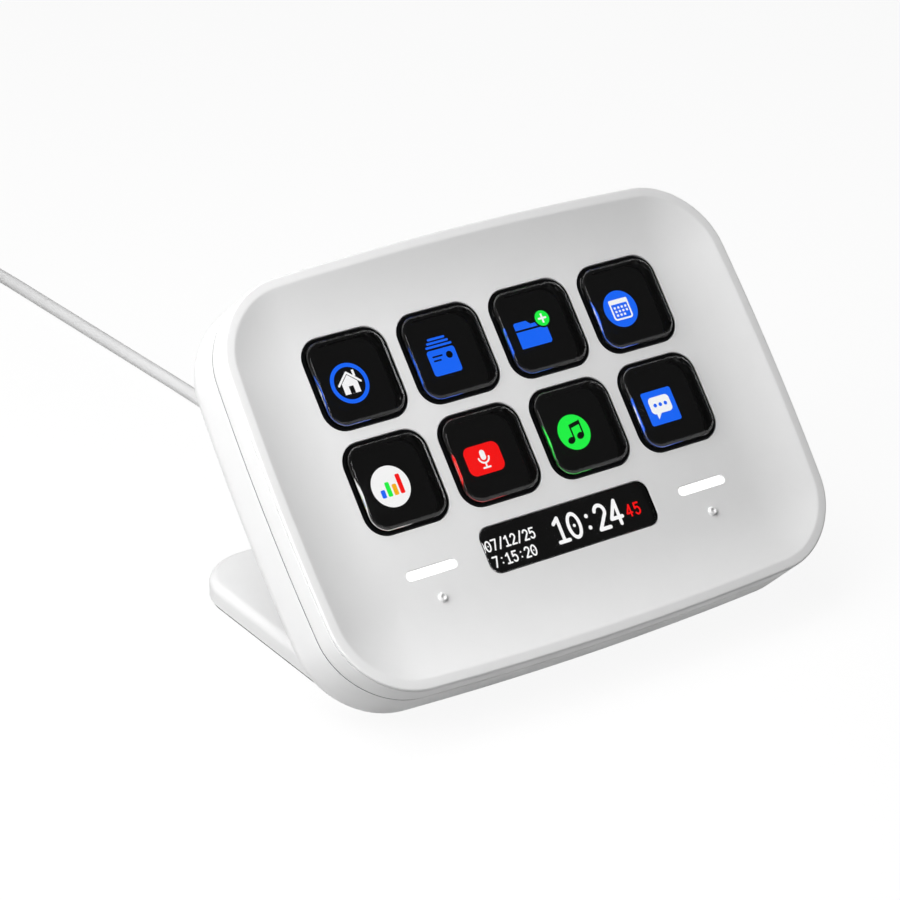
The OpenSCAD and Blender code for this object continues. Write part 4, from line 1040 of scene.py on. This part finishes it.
chart += [(plate(1.35 * i - 2.02, h / 2 - 1.9, 0.95, h, 0.25), c)
          for i, (h, c) in enumerate(((1.6, B), (2.9, G), (2.2, A), (3.9, R)))]
microphone = [
    (plate(0, 0, 8.0, 5.9, 1.5), R), (stroke([[0, 0.35], [0, 0.8], [0, 1.25]], 1.15), W),
    (stroke(bow(0, 0.35, 1.15, 1.15, 185, 355), 0.34), W),
    (stroke([[0, -0.8], [0, -1.2], [0, -1.6]], 0.34), W),
    (stroke([[-0.75, -1.75], [0, -1.75], [0.75, -1.75]], 0.34), W)]
tune = [(disc(0, 0, 3.6), G), (disc(-1.2, -1.45, 0.85, 0.66, 20), D),
        (disc(1.1, -1.0, 0.85, 0.66, 20), D),
        (stroke([[-0.5, -1.4], [-0.5, 0], [-0.5, 1.5]], 0.34), D),
        (stroke([[1.8, -0.9], [1.8, 0.5], [1.8, 1.95]], 0.34), D),
        (np.array([[-0.66, 0.85], [1.96, 1.3], [1.96, 2.1], [-0.66, 1.65]]), D)]
message = [(plate(0, 0, 7.2, 7.0, 0.5), B), (plate(0, 0.45, 5.0, 3.5, 0.9), W),
           (np.array([[-1.6, -1.0], [-0.2, -1.0], [-1.5, -2.4]]), W)]
message += [(disc(1.25 * i, 0.45, 0.4), B) for i in (-1, 0, 1)]
SCREEN_TOP, SHRINK = -3.5, 0.92
pictograms = dict(home=home, cards=cards, folder=folder, calendar=calendar, chart=chart,
                  microphone=microphone, tune=tune, message=message)
for (name, shapes), key in zip(pictograms.items(), KEYS):
    smaller = [(tuple(loop * SHRINK for loop in s) if isinstance(s, tuple) else s * SHRINK, shine)
               for s, shine in shapes]
    lit_picture(f"picture_{name}", smaller, key, SCREEN_TOP)

# %% [markdown]
# ## The clock
# The figures are narrow and all of one width, as a small display draws them. Each is a few
# strokes in a box one high and 0.6 wide, so a line of figures is a row of boxes.

# %% Figures
HEAVY = 0.16


def figure(sign, weight):
    """The strokes of one sign in its box. A nought is a band between two ellipses."""
    lines = {
        "1": [[(0.06, 0.8), (0.31, 1)], [(0.31, 1), (0.31, 0)], [(0.06, 0), (0.56, 0)]],
        "2": [[*bow(0.29, 0.72, 0.25, 0.28, 165, -22), (0.05, 0)], [(0.05, 0), (0.56, 0)]],
        "4": [[(0.43, 1), (0.03, 0.28)], [(0.03, 0.28), (0.59, 0.28)], [(0.43, 1), (0.43, 0)]],
        "5": [[(0.52, 1), (0.1, 1)], [(0.1, 1), (0.07, 0.55)],
              [(0.07, 0.55), *bow(0.28, 0.32, 0.26, 0.32, 125, -145)]],
        "7": [[(0.03, 1), (0.56, 1)], [(0.56, 1), (0.22, 0)]],
        "/": [[(0.06, -0.04), (0.52, 1.04)]]}.get(sign, [])
    shapes = [stroke(line, weight) for line in lines]
    if sign == "0":
        shapes = [(disc(0.3, 0.5, 0.28 + weight / 2, 0.5 + weight / 2),
                   disc(0.3, 0.5, 0.28 - weight / 2, 0.5 - weight / 2)), disc(0.3, 0.5, 0.07)]
    if sign == ":":
        shapes = [disc(0.3, y, 0.09) for y in (0.22, 0.72)]
    return shapes


def figures(text, x, y, height, step, weight=HEAVY):
    """A line of figures from (x, y), each box scaled to the height and set a step apart."""
    made = []
    for place, sign in enumerate(text):
        for shape in figure(sign, weight):
            loops = shape if isinstance(shape, tuple) else (shape,)
            moved = tuple(loop * [height * 0.95, height] + [x + place * step, y]
                          for loop in loops)
            made.append(moved if isinstance(shape, tuple) else moved[0])
    return made


# %% The clock's figures
INFO_LEVEL, SMALL = -1.76, 0.17
shown = dict(
    clock_figures=(W, figures("10:24", -2.7, -2.1, 4.35, 2.96)),
    date_figures=(W, figures("07/12/25", -17.0, 0.15, 1.8, 1.32, SMALL)
                  + figures("7:15:20", -16.7, -2.85, 1.8, 1.32, SMALL)),
    second_figures=(R, figures("45", 12.75, -1.35, 2.05, 1.75, SMALL)))
for name, (light, shapes) in shown.items():
    lit_picture(name, [(s, light) for s in shapes], (0, -INFO_DROP), INFO_LEVEL)

# %% [markdown]
# ## The info window and the light bars
# The info window is a clear slip with a small soft edge, let in a hair proud. The light bars are
# milky slips that glow from the status lights below, each with a rim that keeps it in.

# %% The info window
PROUD, WINDOW_EDGE, WINDOW_LOW, WINDOW_LIP = 0.1, 0.22, -1.72, 1.0
edge_in, edge_up = quarter(WINDOW_EDGE, 5)
window = [(WINDOW_LIP, WINDOW_LOW), (WINDOW_LIP, SHELF_Z), (0, SHELF_Z)]
window += [(-i, PROUD - WINDOW_EDGE + u) for i, u in zip(edge_in, edge_up)]
window += [(-0.4, PROUD), (-2.0, PROUD)]
rings = lofted(window, lambda o: outline(INFO_W + 2 * o, INFO_H + 2 * o, INFO_R + o, spans=6)
               - [0, INFO_DROP])
points, faces = closed(rings)
paint = np.concatenate([np.arange(len(faces[0])) < 4 * rings.shape[1], [False, False]])
make_piece("info_glass", on_face(points), faces, [window_clear, bond_black],
           slot="clear_plastic", stands_for=["info_window"], crease=40, paint=paint)

# %% The light bars
BAR_EDGE, BAR_FOOT, BAR_LIP = 0.15, -7.4, 0.88
bar_in, bar_up = quarter(BAR_EDGE, 4)
for side, word in zip(SIDES, ("left", "right")):
    profile = [(0, BAR_FOOT), (0, FLANGE_Z), (BAR_LIP, FLANGE_Z), (BAR_LIP, SHELF_Z), (0, SHELF_Z)]
    profile += [(-i, u - BAR_SINK - BAR_EDGE) for i, u in zip(bar_in, bar_up)]
    profile += [(-0.4, 0.01 - BAR_SINK)]
    rings = lofted(profile, lambda o: outline(BAR_W + 2 * o, BAR_H + 2 * o, BAR_H / 2 + o - 0.01)
                   + [side * BAR_X, -INFO_DROP])
    points, faces = closed(rings)
    make_piece(f"light_bar_{word}", on_face(points), faces, milky_bar, slot="milky_plastic",
               stands_for=[f"light_pipe_{word}"])

# %% [markdown]
# ## The inside
# The solids inside the case are right as they are, so they keep their shapes and only take a
# finish: solder mask, tinned sheet, foam, rubber and steel.

# %% Inside finishes
board_green = finish("board_green", srgb(28, 84, 52), 0.35, 0.01, 0.8, 0.08, 2.0, 0.25)
tin_sheet = finish("tin_sheet", srgb(190, 192, 195), 0.38, 0.003, 0.6, 0.1, 5.0, 0.12,
                   Metallic=1.0)
chip_black = finish("chip_black", srgb(32, 32, 34), 0.55, 0.006, 0.2, 0.06, shade=0.15)
film_dark = finish("film_dark", srgb(10, 10, 10), 0.6, 0.001, Specular_IOR_Level=0.1)
film_amber = finish("film_amber", srgb(178, 112, 40), 0.3, 0.001, shade=0.15)
rubber_dark = finish("rubber_dark", srgb(9, 9, 10), 0.8, 0.006, Specular_IOR_Level=0.1)
foam_grey = finish("foam_grey", srgb(88, 88, 92), 0.95, 0.08, 0.3, 0.0, 0.6, 0.3)
lamp_cream = finish("lamp_cream", srgb(245, 240, 214), 0.3, Emission_Color=(1, 1, 1, 1),
                    Emission_Strength=0.6)
weight_steel = finish("weight_steel", srgb(132, 133, 136), 0.45, 0.006, 0.4, 0.1, shade=0.2,
                      Metallic=1.0)
inside = (
    (weight_steel, "stand_weight"), (rubber_dark, "key_guide dome_sheet"),
    (film_dark, "switch_sheet"), (screen_glass, "key_display info_display"),
    (tin_sheet, "display_tray"), (film_amber, "display_ribbon touch_pads"),
    (foam_grey, "touch_posts"), (board_green, "main_board"),
    (chip_black, "processor board_parts"), (lamp_cream, "status_leds"),
    (screw_steel, "case_screws tray_screws board_screws stand_screws"),
    (cable_skin, "inner_lead"))
for material, names in inside:
    for name in names.split():
        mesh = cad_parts[name].data
        mesh.materials.clear()
        mesh.materials.append(material)
print("Finished", sum(len(names.split()) for _, names in inside), "solids inside")

# %% [markdown]
# ## The floor and the light
# The object stands on a plain white floor that has no edge. For the camera the floor is
# mostly its own white and only partly lit, so it keeps a faint shadow. For light that bounces
# it is an ordinary pale surface. Two small soft lamps on the left are near enough to fade
# across the face, and a larger one above lights the foot and the top.

# %% White when it is seen
def larger_of(tree, first, second):
    """The larger of two values."""
    node = add(tree, "Math")
    node.operation = "MAXIMUM"
    tree.links.new(first, node.inputs[0])
    tree.links.new(second, node.inputs[1])
    return node.outputs[0]


def mixed(tree, first, second, share):
    """Two shaders as one. The second's share is a number or another node's value."""
    node = add(tree, "MixShader")
    if isinstance(share, float):
        node.inputs[0].default_value = share
    else:
        tree.links.new(share, node.inputs[0])
    tree.links.new(first, node.inputs[1])
    tree.links.new(second, node.inputs[2])
    return node.outputs[0]


def white_when_seen(tree, lit, own):
    """Joins two shaders: the lit one for light that bounces, its own white for the rest. A
    ray from the camera, a mirror or through glass counts as seeing."""
    path = add(tree, "LightPath").outputs
    most = path["Is Camera Ray"]
    for ray in ("Is Glossy Ray", "Is Transmission Ray"):
        most = larger_of(tree, most, path[ray])
    return mixed(tree, lit, own, most)


# %% The floor
BOUNCE, SHADOW_SEEN = 0.36, 0.08
floor_finish = bpy.data.materials.new("floor_white")
floor_finish.use_nodes = True
tree = floor_finish.node_tree
tree.nodes.remove(tree.nodes["Principled BSDF"])
bounce = add(tree, "BsdfDiffuse", Color=(BOUNCE, BOUNCE, BOUNCE, 1))
pale = add(tree, "BsdfDiffuse", Color=(1, 1, 1, 1))
light = add(tree, "Emission", Strength=1.0)
seen = mixed(tree, light.outputs[0], pale.outputs[0], SHADOW_SEEN)
tree.links.new(white_when_seen(tree, bounce.outputs[0], seen),
               tree.nodes["Material Output"].inputs["Surface"])

FLOOR = 20.0
mesh = bpy.data.meshes.new("floor")
mesh.from_pydata([(x * FLOOR, y * FLOOR, 0) for x, y in ((-1, -1), (1, -1), (1, 1), (-1, 1))],
                 [], [(0, 1, 2, 3)])
mesh.materials.append(floor_finish)
placed("floor", mesh)
print("Floor", FLOOR * 2, "m square")

# %% The surroundings
world = bpy.data.worlds.new("studio")
bpy.context.scene.world = world
world.use_nodes = True
tree = world.node_tree
soft_room = with_sockets(tree.nodes["Background"], Color=(1, 1, 1, 1), Strength=0.08)
backdrop = add(tree, "Background")
way = add(tree, "SeparateXYZ")
tree.links.new(add(tree, "TexCoord").outputs["Generated"], way.inputs[0])
fade = add(tree, "MapRange", From_Min=0.0, From_Max=0.12, To_Min=1.0, To_Max=0.06)
fade.interpolation_type = "SMOOTHSTEP"
tree.links.new(way.outputs["Z"], fade.inputs["Value"])
brighter = larger_of(tree, add(tree, "LightPath").outputs["Is Camera Ray"], fade.outputs["Result"])
tree.links.new(brighter, backdrop.inputs["Strength"])
tree.links.new(white_when_seen(tree, soft_room.outputs[0], backdrop.outputs[0]),
               tree.nodes["World Output"].inputs["Surface"])
print("Surroundings: white at the horizon, dark above it")

# %% A soft lamp
KEYS_AT = Vector((0, -0.006, 0.046))


def soft_lamp(name, at, wide, high, watts, along=(1, 0, 0)):
    """A rectangular lamp that faces the keys, with its width along a direction, and is itself
    out of sight."""
    data = bpy.data.lights.new(name, "AREA")
    data.shape, data.size, data.size_y, data.energy = "RECTANGLE", wide, high, watts
    lamp = placed(name, data)
    back = (Vector(at) - KEYS_AT).normalized()
    side = (Vector(along) - back * back.dot(Vector(along))).normalized()
    lamp.matrix_world = Matrix.Translation(at) @ Matrix(
        (side, back.cross(side), back)).transposed().to_4x4()
    lamp.visible_camera = False
    return lamp


# %% The lamps
for name, at, size, watts in (("near lamp", (-0.27, -0.06, 0.18), 0.2, 0.53),
                              ("left lamp", (-0.20, -0.12, 0.32), 0.2, 0.61),
                              ("top lamp", (-0.15, 0.10, 0.50), 0.4, 1.62)):
    lamp = soft_lamp(name, at, size, size, watts)
    lamp.visible_glossy = lamp.visible_transmission = False
CARD_W, CARD_H, CARD_GLOW = 0.34, 0.06, 4.0
card = soft_lamp("left card", (-0.29, -0.162, 0.26), CARD_W, CARD_H,
                 CARD_W * CARD_H * math.pi * CARD_GLOW, (0.3, 0.3, 1))
card.visible_diffuse = False
bpy.context.scene.view_settings.view_transform = "Standard"
